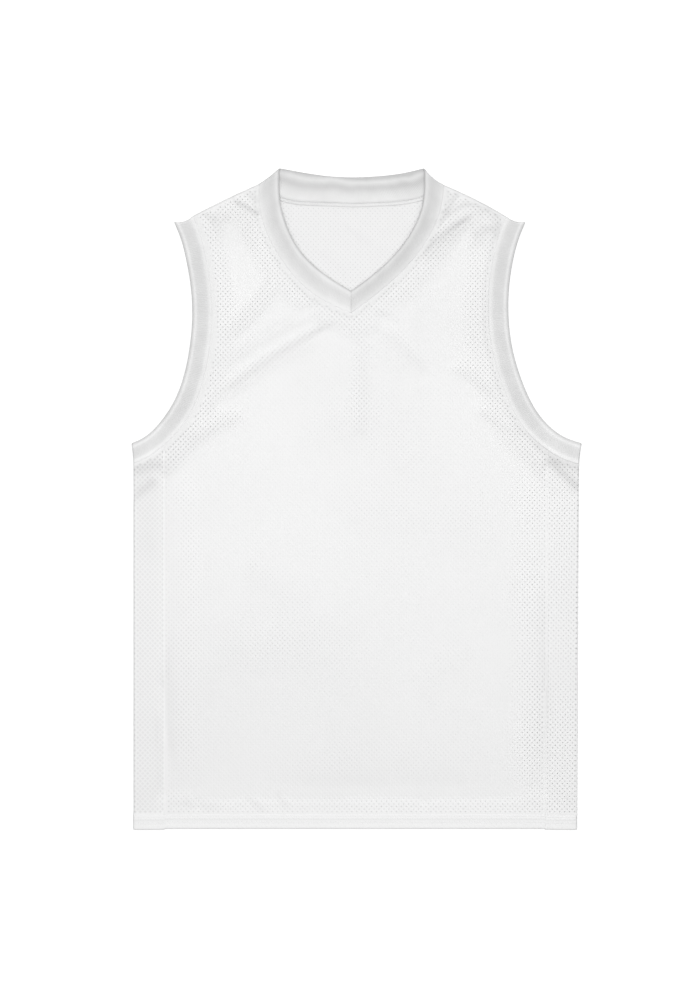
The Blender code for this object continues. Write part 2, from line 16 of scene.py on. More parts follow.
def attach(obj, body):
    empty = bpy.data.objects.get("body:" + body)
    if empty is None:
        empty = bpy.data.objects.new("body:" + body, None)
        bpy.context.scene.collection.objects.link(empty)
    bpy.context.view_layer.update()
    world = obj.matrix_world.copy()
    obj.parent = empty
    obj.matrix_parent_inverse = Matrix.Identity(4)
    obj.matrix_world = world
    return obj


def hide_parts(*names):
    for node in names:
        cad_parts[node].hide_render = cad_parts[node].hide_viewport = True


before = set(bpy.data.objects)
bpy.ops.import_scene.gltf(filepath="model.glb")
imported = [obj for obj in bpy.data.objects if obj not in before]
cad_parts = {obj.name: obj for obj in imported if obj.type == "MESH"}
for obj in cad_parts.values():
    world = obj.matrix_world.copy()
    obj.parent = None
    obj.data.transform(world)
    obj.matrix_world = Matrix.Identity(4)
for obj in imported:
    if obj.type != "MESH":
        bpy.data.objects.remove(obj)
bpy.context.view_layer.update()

MM = 0.001                # everything below is in millimetres until a mesh is made
LENGTH = 740.7            # hem to the highest point of the neck

# %% [markdown]
# ## The pattern of the jersey
# A sewn garment is a set of flat pieces that meet along seams. The tables below are the same
# seams that the CAD solids have: x runs to the wearer's left, y from the hem up, and "out" is the
# distance from the middle to either side. One smooth curve goes through each table.

# %% Seam tables
MESH_WALL, RIB_WALL = 1.0, 2.0
LAYER_GAP = 0.3
TUCK = 0.25               # the body's cloth goes this far under the edge of a band
NECK_SHARE = 0.92         # the collar's seam lies this far across its solid
TOUCH = 0.02              # side seams are sewn edge to edge, with no gap to look into
ARMBAND_WIDTH, COLLAR_WIDTH = 22.5, 28.0
HEM_DEPTH = 16.0
PANEL_HEM_UP = 1.1        # front and back end a little above the side panels
REST_TOP, FOLD_TOP, V_TOP, HEM_TOP = 2.6, 4.8, 3.7, 4.6
TURN_INSET = 2.8          # how far inside the outline the cloth starts to turn over
SHOULDER_FLAP = 6.0
SIDES = {"right": -1.0, "left": 1.0}

# station: up, right out, left out
ARMHOLE = (
    (680.5, 204.5, 189.2), (663, 197.3, 182), (638, 190.7, 175.2), (602.5, 185.1, 170.3),
    (570.5, 184.1, 170.2), (537, 187.4, 174.7), (503.5, 194.8, 184.6), (481, 203.6, 194.2),
    (458.5, 218, 209), (438.5, 239, 234.5), (432.5, 252.1, 252.1),
)
# shoulder out, shoulder up, underarm out, underarm up, band bow, panel bow, collar bow
CORNERS = {
    "right": (183.2, 687.2, 249.8, 409.6, -2.6, 0.8, -0.6),
    "left": (167.6, 686.5, 249.0, 409.0, -2.2, 1.5, -2.0),
}
# right edge out and up, right seam out and up, then the same for the left
COLLAR_FRONT = (
    (6.3, 603.1, 6.3, 575.7, -6.3, 603.1, -6.3, 575.7),
    (36.2, 622.2, 51.6, 599, 17.8, 620.9, 31.6, 604.8),
    (62.3, 646.8, 84.5, 634.5, 46.1, 647.9, 65.6, 638.4),
    (77.4, 673.7, 101.5, 664, 63.2, 672.6, 82.6, 662.4),
    (85.8, 706.2, 111.3, 700, 73.8, 700.6, 97.2, 698.3),
    (86.4, 740.7, 111.6, 721.2, 75.5, 740.7, 100.1, 720),
)
# edge x and y, seam x and y, from the right corner of the neck to the left one
COLLAR_BACK = (
    (-86.4, 740.7, -111.6, 721.2), (-63.4, 736.4, -77.5, 705.4), (-36, 732.3, -41.5, 702.1),
    (-5.2, 730.5, -5.2, 700.9), (26, 731.9, 30, 702), (52.4, 735.2, 65, 705.9),
    (75.5, 740.7, 100.1, 720),
)
# up, right fold out, right seam out, left fold out, left seam out
SIDE_LINES = (
    (0, 250.4, 215, 247, 211), (150, 250.4, 215, 247.9, 212.2), (320, 250.4, 215.1, 248.4, 213.6),
    (410, 249.8, 215.1, 249, 214.3),
)
print("Seam stations:", len(ARMHOLE) + len(COLLAR_FRONT) + len(COLLAR_BACK) + len(SIDE_LINES))


# %% Short helpers
def smooth(x):
    """0 below 0, 1 above 1, and an even ease between them."""
    x = np.clip(x, 0.0, 1.0)
    return x * x * (3.0 - 2.0 * x)


def unit(v):
    return v / np.linalg.norm(v, axis=-1, keepdims=True)


def lerp(a, b, w):
    return a + (b - a) * w


def mirrored(points, side):
    return np.asarray(points, dtype=float) * np.array([SIDES[side], 1.0])


def looped(line):
    """The same points with the first one again at the end."""
    return np.vstack([line, line[:1]])


def along(points):
    """Length from the start of a line to each of its points."""
    return np.concatenate([[0.0], np.cumsum(np.linalg.norm(np.diff(points, axis=0), axis=1))])


def resample(points, step):
    """The same line with evenly spaced points."""
    run = along(points)
    at = np.linspace(0.0, run[-1], max(2, int(round(run[-1] / step)) + 1))
    return np.stack([np.interp(at, run, points[:, k]) for k in range(points.shape[1])], axis=1)


# %% Curves through the tables
def curve(points):
    """Natural cubic spline through the points, as a function of the share of its length."""
    p = np.array(points, dtype=float)
    knots = along(p)
    step, count = np.diff(knots), len(p)
    matrix, bend = np.eye(count), np.zeros_like(p)
    for i in range(1, count - 1):
        matrix[i, i - 1:i + 2] = step[i - 1], 2.0 * (step[i - 1] + step[i]), step[i]
        bend[i] = 6.0 * ((p[i + 1] - p[i]) / step[i] - (p[i] - p[i - 1]) / step[i - 1])
    second = np.linalg.solve(matrix, bend)

    def at(share):
        s = np.atleast_1d(np.asarray(share, dtype=float)) * knots[-1]
        i = np.clip(np.searchsorted(knots, s, side="right") - 1, 0, count - 2)
        h = step[i][:, None]
        a = ((knots[i + 1] - s) / step[i])[:, None]
        b = 1.0 - a
        cubic = (a ** 3 - a) * second[i] + (b ** 3 - b) * second[i + 1]
        return a * p[i] + b * p[i + 1] + cubic * h * h / 6.0

    at.length = knots[-1]
    return at


print("Halfway through three corners of a square:", curve([(0, 0), (1, 0), (1, 1)])(0.5)[0])


# %% Outline of the armhole bands
def armhole_curve(side):
    k = 1 if side == "right" else 2
    return curve([(row[k], row[0]) for row in ARMHOLE])


def armhole_line(side, share):
    """Edge points of a band, and the vectors from them across it to its seam."""
    edge = armhole_curve(side)
    share = np.atleast_1d(share)
    ahead, behind = np.clip(share + 0.002, 0, 1), np.clip(share - 0.002, 0, 1)
    ahead, behind = edge(ahead), edge(behind)
    run = unit(ahead - behind)
    across = np.stack([run[:, 1], -run[:, 0]], axis=1) * ARMBAND_WIDTH
    corner = CORNERS[side]
    top = np.array(corner[0:2]) - edge(0.0)[0]
    bottom = np.array(corner[2:4]) - edge(1.0)[0]
    to_top = smooth((0.12 - share) / 0.12)[:, None]
    to_bottom = smooth((share - 0.80) / 0.20)[:, None]
    return edge(share), lerp(lerp(across, top, to_top), bottom, to_bottom)


def armhole_seam(side, share, gap=-TUCK):
    edge, across = armhole_line(side, share)
    return edge + across + unit(across) * gap


def side_lines(side, up):
    """How far out the turned side and the side seam lie at each height."""
    table = np.array(SIDE_LINES)
    k = 1 if side == "right" else 3
    return np.interp(up, table[:, 0], table[:, k]), np.interp(up, table[:, 0], table[:, k + 1])


def corner_share(side, offset):
    """Where the armhole seam crosses the side seam, moved out by the offset."""
    low, high = 0.55, 1.0
    for _ in range(40):
        mid = 0.5 * (low + high)
        point = armhole_seam(side, mid)[0]
        if point[0] < side_lines(side, point[1])[1] + offset:
            low = mid
        else:
            high = mid
    return 0.5 * (low + high)


def armhole_inset(side, inset=TURN_INSET):
    return inset / armhole_curve(side).length


# %% Outline of the neck
def front_neck(side, which):
    k = {"edge": 0, "seam": 2}[which] + (0 if side == "right" else 4)
    return curve([(row[k], row[k + 1]) for row in COLLAR_FRONT])


def back_neck(which):
    k = 0 if which == "edge" else 2
    return curve([(row[k], row[k + 1]) for row in COLLAR_BACK])


def pair_at(edge, seam, share, inset_start, inset_end, gap=0.0, width=1.0):
    """Matching edge and seam points, cut back by an inset at each end of both lines."""
    share = np.atleast_1d(share)
    spans = [line(lerp(inset_start / line.length, 1.0 - inset_end / line.length, share))
             for line in (edge, seam)]
    across = (spans[1] - spans[0]) * width
    return spans[0], spans[0] + across + unit(across) * gap


def front_neck_pair(side, share, gap=0.0, inset=TURN_INSET):
    lines = front_neck(side, "edge"), front_neck(side, "seam")
    pair = pair_at(*lines, share, 0.0, inset, gap, NECK_SHARE)
    return mirrored(pair[0], side), mirrored(pair[1], side)


def back_neck_pair(share, gap=0.0, inset=TURN_INSET):
    return pair_at(back_neck("edge"), back_neck("seam"), share, inset, inset, gap)


print("Armhole edge:", round(armhole_curve("right").length), "mm; neck edge:",
      round(2 * front_neck("right", "edge").length + back_neck("edge").length), "mm")

# %% [markdown]
# ## How the front lies
# Cloth on a table is high where something under it holds it up: the folded sides, the doubled
# ribs, the hem. Between those it sinks onto the layer below. On top of that come the folds. Each
# is a line with a sideways bow, a height and a width, and the lines are uneven on purpose,
# because real folds are. The first table is the folds that the CAD solids have too. The second
# adds the small creases that only a thin cloth shows, and the hollows beside them. The third
# makes no shape: it is painted shade at the foot of steep flanks and over some broad places, and
# a little painted light.

# %% Folds and creases
# start x and y, end x and y, bow, height, width
FOLDS = (
    # from the point of the V to the right armhole
    (-40, 588, -168, 507, -6, 2.3, 9), (-18, 580, -170, 488, -7, -1.2, 6),
    (-12, 563, -176, 462, -8, 2, 10), (-86, 622, -158, 546, 7, 1.8, 8),
    # right shoulder
    (-148, 708, -106, 676, 4, 1.8, 6), (-176, 688, -140, 660, 2, 1.3, 6),
    # left shoulder
    (78, 634, 138, 690, 8, 2.8, 8), (86, 672, 154, 690, 12, 2.4, 6),
    (120, 652, 166, 678, 2, 1.4, 7),
    # from the V and the chest to the left armhole
    (20, 580, 92, 500, 3, 1.5, 7), (2, 560, 66, 488, 3, 1.4, 8), (96, 530, 174, 484, 4, 1.9, 9),
    (120, 478, 196, 436, 4, 1.7, 9),
    # under the arms
    (-118, 470, -206, 430, -4, 1.5, 10), (186, 452, 242, 372, -5, 2, 9),
    (-192, 448, -246, 378, 5, 1.6, 9),
    # beside the side seams
    (-221, 190, -219, 40, 3, -1.2, 9), (-204, 240, -206, 60, -3, 1.2, 11),
    (205, 300, 200, 70, 4, 1.2, 11),
    # broad slack over the belly and above the hem
    (-150, 318, -20, 250, -8, 1.2, 18), (150, 236, 30, 140, 8, 1.2, 18),
    (-70, 470, 110, 400, 12, 0.6, 42), (190, 330, -60, 350, -16, 0.5, 36),
    (-190, 180, 40, 210, 14, 0.6, 40), (-120, 70, 170, 80, -10, 0.5, 30),
)
# the same, with a second width where the two flanks differ: above the line, then below it
CREASES = (
    # from the point of the V to the right armhole
    (-157, 489, -14, 578, 2, 1.3, 15, 4.2), (-176, 462, -12, 563, 8, -1.3, 9, 12),
    (-40, 588, -168, 507, -6, -1.5, 9), (-128, 536, -34, 590, 4, -0.4, 4, 4),
    (-153, 555, -80, 629, -5, 0.9, 8, 3.8),
    # right shoulder
    (-148, 708, -106, 676, 4, -1.1, 6), (-176, 688, -140, 660, 2, -0.8, 6),
    (-152, 694, -124, 592, 2, -0.8, 12, 11), (-140, 708, -108, 690, 1, 1.9, 4.5, 3),
    (-174, 693, -159, 681, 1, 1, 4, 3),
    # left shoulder
    (74, 633, 133, 693, 6, 2.2, 6, 3), (84, 679, 122, 703, 1, 1.8, 4, 2.8),
    (110, 701, 151, 688, 5, 1.6, 4, 2.8), (96, 692, 106, 714, -1, -1, 3.5, 3.5),
    (130, 661, 158, 679, 2, 1.2, 5, 3.2),
    # from the V and the chest to the left armhole
    (4, 571, 80, 507, 4, 0.4, 12, 8), (20, 580, 92, 500, 3, -1.1, 7),
    (2, 560, 66, 488, 3, -1.1, 8), (16, 587, 52, 569, 1, 0.5, 5, 3.6),
    (96, 530, 174, 484, 4, -1.3, 9), (143, 672, 147, 500, 2, -1.2, 11, 12),
    (100, 522, 167, 482, 2, 0.5, 10, 5.5), (120, 478, 196, 436, 4, -1.1, 9),
    (134, 472, 188, 440, 2, 0.5, 9, 5),
    # under the arms
    (210, 414, 256, 372, -2, -1.6, 6, 9), (194, 440, 214, 392, 3, -0.9, 4.5, 4.5),
    (-255, 371, -215, 406, 2, -1.3, 6, 8), (-230, 428, -196, 452, 1, 0.3, 8, 6),
    # down the middle of the chest
    (4, 574, 4, 436, 2, 1, 9, 9),
    # beside the side seams
    (-221, 172, -220, 22, 2, -0.6, 4.5, 4.5), (213, 268, 212, 44, 2, -0.5, 4.5, 4.5),
    # short ones above the hem
    (-182, 50, -176, 20, 1, -0.6, 6, 6), (-124, 40, -101, 20, 1, 0.35, 6, 4.5),
    (-91, 48, -74, 24, -1, 0.35, 6, 4.5), (70, 46, 78, 24, 1, -0.4, 6, 6),
    # hollows over the belly and above the hem
    (150, 236, 30, 140, 8, -0.9, 18, 18), (-150, 318, -20, 250, -8, -0.8, 18, 18),
    (-214, 36, 212, 36, 0, -0.9, 14, 9),
    # swells inside the side seams
    (-194, 430, -197, 10, 4, 1, 17, 17), (196, 430, 199, 10, -4, 1, 17, 17),
)
# painted shade: the foot of each steep flank is painted darker; in place of the height is how
# much, and less than nothing is painted lighter
PAINTED_SHADE_AND_LIGHT = (
    # from the point of the V to the right armhole
    (-150, 492, -16, 575, 3, 0.04, 4, 4.5), (-146, 557, -92, 627, -5, 0.03, 4, 3.5),
    (-176, 492, -40, 580, 6, 0.018, 12, 10), (-172, 462, -110, 505, 3, 0.02, 5, 5),
    # right shoulder
    (-139, 704.5, -107, 687, 1, 0.13, 2.6, 2.6), (-126, 714, -108, 700, 1, 0.06, 4, 4),
    (-173, 689, -154, 681, 1, 0.06, 4, 4), (-163, 672, -140, 690, 1, 0.03, 5, 5),
    # left shoulder
    (73, 639, 132, 687, 5.5, 0.16, 4.5, 2.2), (78, 648, 104, 700, 2, 0.02, 2, 2),
    (96, 684, 116, 718, 0, 0.11, 4, 3.5), (90, 674, 128, 700, 5, 0.08, 2.6, 2.6),
    (116, 700.5, 163, 685, 4, 0.1, 3, 3), (127, 663, 158, 673, 3, 0.09, 6, 4.5),
    (154, 692, 160, 656, 1, 0.07, 5, 5),
    # chest
    (16, 565, 84, 504, 4, 0.018, 5, 4), (60, 560, 88, 590, 3, 0.012, 6, 6),
    (104, 516, 165, 474, 3, 0.016, 5, 5), (150, 480, 198, 434, 2, 0.012, 6, 5),
    # under the arms
    (196, 436, 226, 410, 1, 0.05, 5, 5), (208, 421, 256, 376, 0, 0.15, 5, 6.5),
    (218, 416, 258, 399, 0, 0.1, 5, 6), (-258, 366, -222, 394, 0, 0.1, 6, 6),
    (-256, 398, -212, 414, 0, 0.11, 6, 6),
    # beside the side seams
    (-224, 140, -222, 30, 2, 0.03, 4.5, 4.5), (213, 200, 211, 44, 2, 0.025, 5, 5),
    # above the hem
    (-200, 34, -150, 22, 0, 0.03, 8, 6), (-125, 38, -102, 20, 1, 0.03, 4, 4),
    (-90, 46, -76, 24, -1, 0.03, 4, 4), (-84, 40, 0, 30, 0, 0.012, 8, 8),
    # painted light: inside the side seams and along the hem's upper row
    (-195, 450, -198, 0, 4, -0.036, 15, 14), (197, 450, 198, 0, -4, -0.028, 15, 14),
    (-260, 21, 260, 21, 0, -0.045, 5, 6),
    # broad and faint painted shade: shoulders, chest, under the right arm, belly
    (-172, 672, -106, 676, 0, 0.035, 22, 22), (98, 674, 166, 674, 0, 0.012, 20, 20),
    (50, 565, 170, 565, 0, 0.02, 40, 40), (-232, 430, -232, 290, 0, 0.027, 16, 16),
    (-230, 150, 70, 130, 0, 0.016, 80, 80), (-90, 500, 90, 500, 0, 0.016, 60, 60),
)
RIPPLES = (               # wavelength, direction in degrees, height, phase
    (118.0, 24.0, 0.04, 0.3), (83.0, 118.0, 0.035, 2.1), (61.0, 71.0, 0.025, 4.0),
    (44.0, 155.0, 0.015, 1.2),
)
print(len(FOLDS), "folds,", len(CREASES), "creases,", len(PAINTED_SHADE_AND_LIGHT), "soft shades")


# %% Lift of a table's folds
def fold_lift(points, table, fade_in=0.3, fade_out=0.35):
    """Sum of a table's folds at the points; each fades over a share of its length at both ends."""
    lift = np.zeros(len(points))
    for x0, y0, x1, y1, bow, height, above, *below in table:
        start, run = np.array([x0, y0]), np.array([x1 - x0, y1 - y0])
        length = np.linalg.norm(run)
        share = (points - start) @ run / length ** 2
        off = (points - start) @ np.array([-run[1], run[0]]) / length
        off = off - bow * 4.0 * share * (1.0 - share)
        fade = smooth(share / fade_in) * smooth((1.0 - share) / fade_out)
        width = np.where(off > 0.0, above, below[0] if below else above)
        lift += height * fade * np.exp(-(off / width) ** 2)
    return lift


def ripple(points):
    """Faint waves all over, as cloth has that was folded once."""
    lift = np.zeros(len(points))
    for wavelength, direction, height, phase in RIPPLES:
        turn_by = math.radians(direction)
        reach = points @ np.array([math.cos(turn_by), math.sin(turn_by)])
        lift += height * np.sin(2.0 * math.pi * reach / wavelength + phase)
    return lift


# %% What holds the front up
def supports():
    """Lines under the front: their points, lift at each, flat width beside them and reach."""
    lines, share = [], np.linspace(0.0, 1.0, 70)
    for side in SIDES:
        edge = mirrored(armhole_curve(side)(share), side)
        lines.append((edge, np.full(len(edge), FOLD_TOP - REST_TOP), ARMBAND_WIDTH + 3.0, 34.0))
        up = np.linspace(0.0, 430.0, 60)
        fold = mirrored(np.stack([side_lines(side, up)[0], up], axis=1), side)
        lines.append((fold, np.full(len(fold), FOLD_TOP - REST_TOP), 6.0, 38.0))
        corner = mirrored([CORNERS[side][0:2]], side)[0]
        neck_end = front_neck_pair(side, 1.0, inset=0.0)[1][0]
        top = lerp(corner, neck_end, np.linspace(0, 1, 12)[:, None])
        lines.append((top, np.full(len(top), FOLD_TOP - REST_TOP), 7.0, 34.0))
        rise, at = smooth(np.linspace(0.0, 1.0, 40) / 0.75), np.linspace(0, 1, 40)
        middle = front_neck(side, "edge")(at) + front_neck(side, "seam")(at)
        middle = mirrored(0.5 * middle, side)
        lines.append((middle, lerp(V_TOP, FOLD_TOP, rise) - REST_TOP, 17.0, 30.0))
    return lines


SUPPORTS = supports()
print("Lines that hold the front up:", len(SUPPORTS))


# %% Height of the front
SHELL_DOWN = 0.2          # the thin cloth lies this far inside the solid's outer face
SINK = 1.05               # where nothing holds it up it lies this far in, on the layer below


def front_top(points, least=REST_TOP - 0.1):
    """Height of the front's outer face over the ground at (x, y) points."""
    points, tops = np.atleast_2d(points), []
    for part in np.array_split(points, len(points) // 4000 + 1):
        power = np.zeros(len(part))
        for line, lift, flat, reach in SUPPORTS:
            apart = part[:, None] - line[None]
            far = np.hypot(apart[..., 0], apart[..., 1])
            power += (lift[None] * smooth(1.0 - (far - flat) / reach)).max(axis=1) ** 5
        power += ((HEM_TOP - REST_TOP) * smooth(1.0 - (part[:, 1] - HEM_DEPTH - 2.0) / 30.0)) ** 5
        fine = fold_lift(part, FOLDS) + fold_lift(part, CREASES, 0.16, 0.16) + ripple(part)
        tops.append(np.maximum(REST_TOP + power ** 0.2 + fine, least))
    return np.concatenate(tops)


def front_shell(points):
    """Height of the thin cloth of the front: near the outer face on folds, deep where it rests."""
    top = front_top(points)
    return top - SHELL_DOWN - (SINK - SHELL_DOWN) * (1.0 - smooth((top - REST_TOP) / 1.3))


probe = np.array([[0.0, 300.0], [0.0, 8.0], [-230.0, 300.0]])
print("Front height at the belly, the hem and the side:", front_top(probe).round(2), "mm")


# %% Turned edges
def turn(front, fold, back, top, steps):
    """Rows between a front row and a back row round a turned edge, and their directions."""
    bulge = fold - 0.5 * (front + back)
    out, points, normals = unit(bulge), [], []
    for k in range(1, steps):
        angle = math.pi * k / steps
        plan = lerp(front, back, k / steps) + bulge * math.sin(angle)
        points.append(np.column_stack([plan, 0.5 * top * (1.0 + math.cos(angle))]))
        level = np.full(len(plan), math.cos(angle))
        normals.append(np.column_stack([out * math.sin(angle), level]))
    return np.array(points), np.array(normals)

# %% [markdown]
# ## From numbers to a mesh
# Every piece ends in the same short function. It writes the mesh, gives it two UV maps, and hides
# the CAD solids it takes the place of. One map, "cloth", holds real lengths along the yarn, so
# that knit and ribs keep their scale on any piece. The other, "OFBake", is the same map shrunk
# into one square.

# %% Make a piece
def make_piece(name, points, faces, uv, stands_for, finish, bake_rows=1, shade=None):
    """A smooth mesh that rides with the jersey.

    uv holds millimetres for each corner of each face. The painted shade, for each corner too, is
    light or shade painted into the cloth's colour there, beside the rest of the piece.
    """
    mesh = bpy.data.meshes.new(name)
    shifted = (points - np.array([0.0, LENGTH / 2.0, 0.0])) * MM
    mesh.from_pydata(shifted.tolist(), [], [tuple(f) for f in faces])
    mesh.shade_smooth()
    cloth = mesh.uv_layers.new(name="cloth")
    cloth.data.foreach_set("uv", (uv * MM).ravel())
    # a third map, where given, holds the painted light and shade of each corner
    if shade is not None:
        shades = mesh.uv_layers.new(name="shade")
        shades.data.foreach_set("uv", np.stack([shade, shade], axis=1).ravel())
    low, high = uv.min(axis=0), uv.max(axis=0)
    flat = uv - low
    if bake_rows > 1:     # a long strip is cut into rows, laid one above another
        corners = len(faces[0])
        long, tall = (high - low) / np.array([bake_rows, 1.0]) + 1.0
        middle = flat.reshape(-1, corners, 2).mean(axis=1)[:, 0]
        row = np.minimum((middle // long).astype(int), bake_rows - 1).repeat(corners)
        flat = np.stack([flat[:, 0] - row * long, flat[:, 1] + row * tall], axis=1)
    flat = (flat - flat.min(axis=0)) / (flat - flat.min(axis=0)).max()
    bake = mesh.uv_layers.new(name="OFBake")
    bake.data.foreach_set("uv", (0.01 + 0.98 * flat).ravel())
    mesh.uv_layers.active = cloth
    mesh.materials.append(finish)
    piece = bpy.data.objects.new(name, mesh)
    bpy.context.collection.objects.link(piece)
    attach(piece, "root")
    if stands_for:
        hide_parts(*stands_for)
    triangles = sum(len(f) - 2 for f in faces)
    print(f"{name}: {len(points)} points, {triangles} triangles")
    return piece

# %% [markdown]
# ## Finishes
# White polyester is never one flat colour. The knit has rows and columns that catch the light,
# the plain margins of the mesh have small pits, and the ribs are painted greyer than the body:
# partly their own tone, partly painted shade of each rib on the next and of the band's roll. The
# patterns are built from sines of the "cloth" map, so their pitch is real: about 0.9 mm between
# the columns of the knit.

# %% Materials and sums
def new_finish(name, roughness, sheen):
    """A material, its node tree and its shader."""
    material = bpy.data.materials.new(name)
    material.use_nodes = True
    shader = material.node_tree.nodes["Principled BSDF"]
    shader.inputs["Roughness"].default_value = roughness
    shader.inputs["Specular IOR Level"].default_value = 0.35
    shader.inputs["Sheen Weight"].default_value = sheen
    shader.inputs["Sheen Roughness"].default_value = 0.5
    return material, material.node_tree, shader


def math_node(tree, operation, *values):
    """One sum of the values, which are numbers or other nodes' outputs."""
    node = tree.nodes.new("ShaderNodeMath")
    node.operation = operation
    for socket, value in zip(node.inputs, values):
        if isinstance(value, (int, float)):
            socket.default_value = value
        else:
            tree.links.new(value, socket)
    return node.outputs[0]


def uv_axes(tree, name):
    """A map as a vector, and its two lengths."""
    source = tree.nodes.new("ShaderNodeUVMap")
    source.uv_map = name
    split = tree.nodes.new("ShaderNodeSeparateXYZ")
    tree.links.new(source.outputs[0], split.inputs[0])
    return source.outputs[0], split.outputs[0], split.outputs[1]


def wave(tree, axis, pitch, shift=0.0):
    """A sine along one length, from -1 to 1, once per pitch in millimetres."""
    turns = math_node(tree, "MULTIPLY_ADD", axis, 2.0 * math.pi / (pitch * MM), shift)
    return math_node(tree, "SINE", turns)


# %% Noise, grey ramps and relief
def noise(tree, vector, size, detail=2.0):
    """Cloudy noise with features of about that size in millimetres, from 0 to 1."""
    node = tree.nodes.new("ShaderNodeTexNoise")
    node.inputs["Scale"].default_value = 1.0 / (size * MM)
    node.inputs["Detail"].default_value = detail
    tree.links.new(vector, node.inputs["Vector"])
    return node.outputs[0]


def ramp(tree, factor, stops):
    """Grey levels at places from 0 to 1."""
    node = tree.nodes.new("ShaderNodeValToRGB")
    while len(node.color_ramp.elements) < len(stops):
        node.color_ramp.elements.new(0.5)
    for element, (place, level) in zip(node.color_ramp.elements, stops):
        element.position = place
        element.color = (level, level, level, 1.0)
    tree.links.new(factor, node.inputs[0])
    return node.outputs[0]


def multiply(tree, tone, other):
    """One tone darkened by another."""
    node = tree.nodes.new("ShaderNodeMix")
    node.data_type, node.blend_type = "RGBA", "MULTIPLY"
    node.inputs[0].default_value = 1.0
    tree.links.new(tone, node.inputs["A"])
    tree.links.new(other, node.inputs["B"])
    return node.outputs["Result"]


def bump(tree, shader, height, distance):
    """Relief of that many millimetres."""
    node = tree.nodes.new("ShaderNodeBump")
    node.inputs["Strength"].default_value = 1.0
    node.inputs["Distance"].default_value = distance * MM
    tree.links.new(height, node.inputs["Height"])
    tree.links.new(node.outputs[0], shader.inputs["Normal"])


# %% Light through the cloth
def let_light_through(tree, shader, share):
    """Thin knit glows a little with the light that falls on its other side."""
    through = tree.nodes.new("ShaderNodeBsdfTranslucent")
    through.inputs["Color"].default_value = (0.9, 0.9, 0.9, 1.0)
    both = tree.nodes.new("ShaderNodeMixShader")
    both.inputs[0].default_value = share
    tree.links.new(shader.outputs[0], both.inputs[1])
    tree.links.new(through.outputs[0], both.inputs[2])
    tree.links.new(both.outputs[0], tree.nodes["Material Output"].inputs["Surface"])


# %% Knitted mesh and plain knit
EYELET_ACROSS, EYELET_UP = 5.54, 5.71   # one cell: an eyelet at its corners and in its centre
COLUMN_PITCH, ROW_PITCH = 0.92, 0.71    # columns and rows of the knit
HEM_MAP = 20.0                          # the hem's tones are given over this many millimetres
# share of that length round the hem's section, and the painted light and shade there: darker
# at the turned edge, a painted shadow between the two rows of stitches, lighter above it
HEM_LIGHT_AND_SHADE = (
    (0.01, 0.88), (0.06, 0.97), (0.12, 1.0), (0.33, 1.0), (0.37, 0.98), (0.42, 1.0), (0.48, 0.99),
    (0.545, 0.92), (0.60, 0.98), (0.66, 1.02), (0.80, 1.02), (0.835, 0.94),
)


def knit_finish(name, level, pits):
    """Fine knit with columns and rows; pits is how deep the closed eyelets of a margin show."""
    material, tree, shader = new_finish(name, 0.82, 0.12)
    vector, across, up = uv_axes(tree, "cloth")
    cloud = noise(tree, vector, 26.0)
    tone = ramp(tree, cloud, ((0.25, level - 0.004), (0.75, level + 0.003)))
    # the hem's colour takes painted light and shade round its section; other knit takes the
    # piece's painted shade map
    if pits:
        painted_tone = ramp(tree, math_node(tree, "DIVIDE", up, HEM_MAP * MM), HEM_LIGHT_AND_SHADE)
    else:
        painted_tone = uv_axes(tree, "shade")[1]
    tree.links.new(multiply(tree, tone, painted_tone), shader.inputs["Base Color"])
    columns, rows = wave(tree, across, COLUMN_PITCH), wave(tree, up, ROW_PITCH)
    yarn = math_node(tree, "MULTIPLY_ADD", rows, 0.45, columns)
    height = math_node(tree, "MULTIPLY_ADD", noise(tree, vector, 0.5, 3.0), 1.2, yarn)
    if pits:
        ahead = wave(tree, across, EYELET_ACROSS, 0.5 * math.pi)
        above = wave(tree, up, EYELET_UP, 0.5 * math.pi)
        dots = math_node(tree, "MULTIPLY", ahead, above)
        dots = math_node(tree, "SUBTRACT", dots, 0.72)
        dots = math_node(tree, "MAXIMUM", dots, 0.0)
        height = math_node(tree, "MULTIPLY_ADD", dots, -pits, height)
    else:
        let_light_through(tree, shader, 0.06)
    bump(tree, shader, height, 0.05)
    return material


mesh_knit = knit_finish("eyelet_mesh_knit", 0.88, 0.0)
hem_knit = knit_finish("folded_hem_knit", 0.878, 14.0)
print("Finishes so far:", mesh_knit.name, "and", hem_knit.name)

# %% [markdown]
# ## Eyelet mesh
# The body is a knitted net with a small hole at the corners and in the centre of a 5.5 by 5.7 mm
# cell. Holes painted on a surface look flat from the side, so these are real: the panel is paved
# with diamonds, one hole in each, and the cloth sinks a little towards every hole. Near a seam
# the diamonds stop, and a plain margin fills the space up to the panel's edge.

# %% Inside or outside, near or far
def crossings(points, starts, ends):
    """True where a point lies inside the closed lines made by the unordered segments."""
    x, y = points[:, 0], points[:, 1]
    within = np.zeros(len(points), dtype=bool)
    for (x0, y0), (x1, y1) in zip(starts, ends):
        if y0 != y1:
            meets = (y0 > y) != (y1 > y)
            within ^= meets & (x < (x1 - x0) * (y - y0) / (y1 - y0) + x0)
    return within


def inside(points, ring):
    """True where a point lies inside one closed line."""
    return crossings(points, ring, np.roll(ring, -1, axis=0))


def closest(points, others):
    """Distance from each point to the closest of the others, and that one's number."""
    tree = kdtree.KDTree(len(others))
    for k, p in enumerate(others):
        tree.insert((p[0], p[1], 0.0), k)
    tree.balance()
    found = [tree.find((p[0], p[1], 0.0)) for p in points]
    return np.array([f[2] for f in found]), [f[1] for f in found]


def nearest(line, points, step=0.25):
    """Distance from each point to a line, and the closest place on it."""
    dense = resample(line, step)
    far, numbers = closest(points, dense)
    return far, dense[numbers]


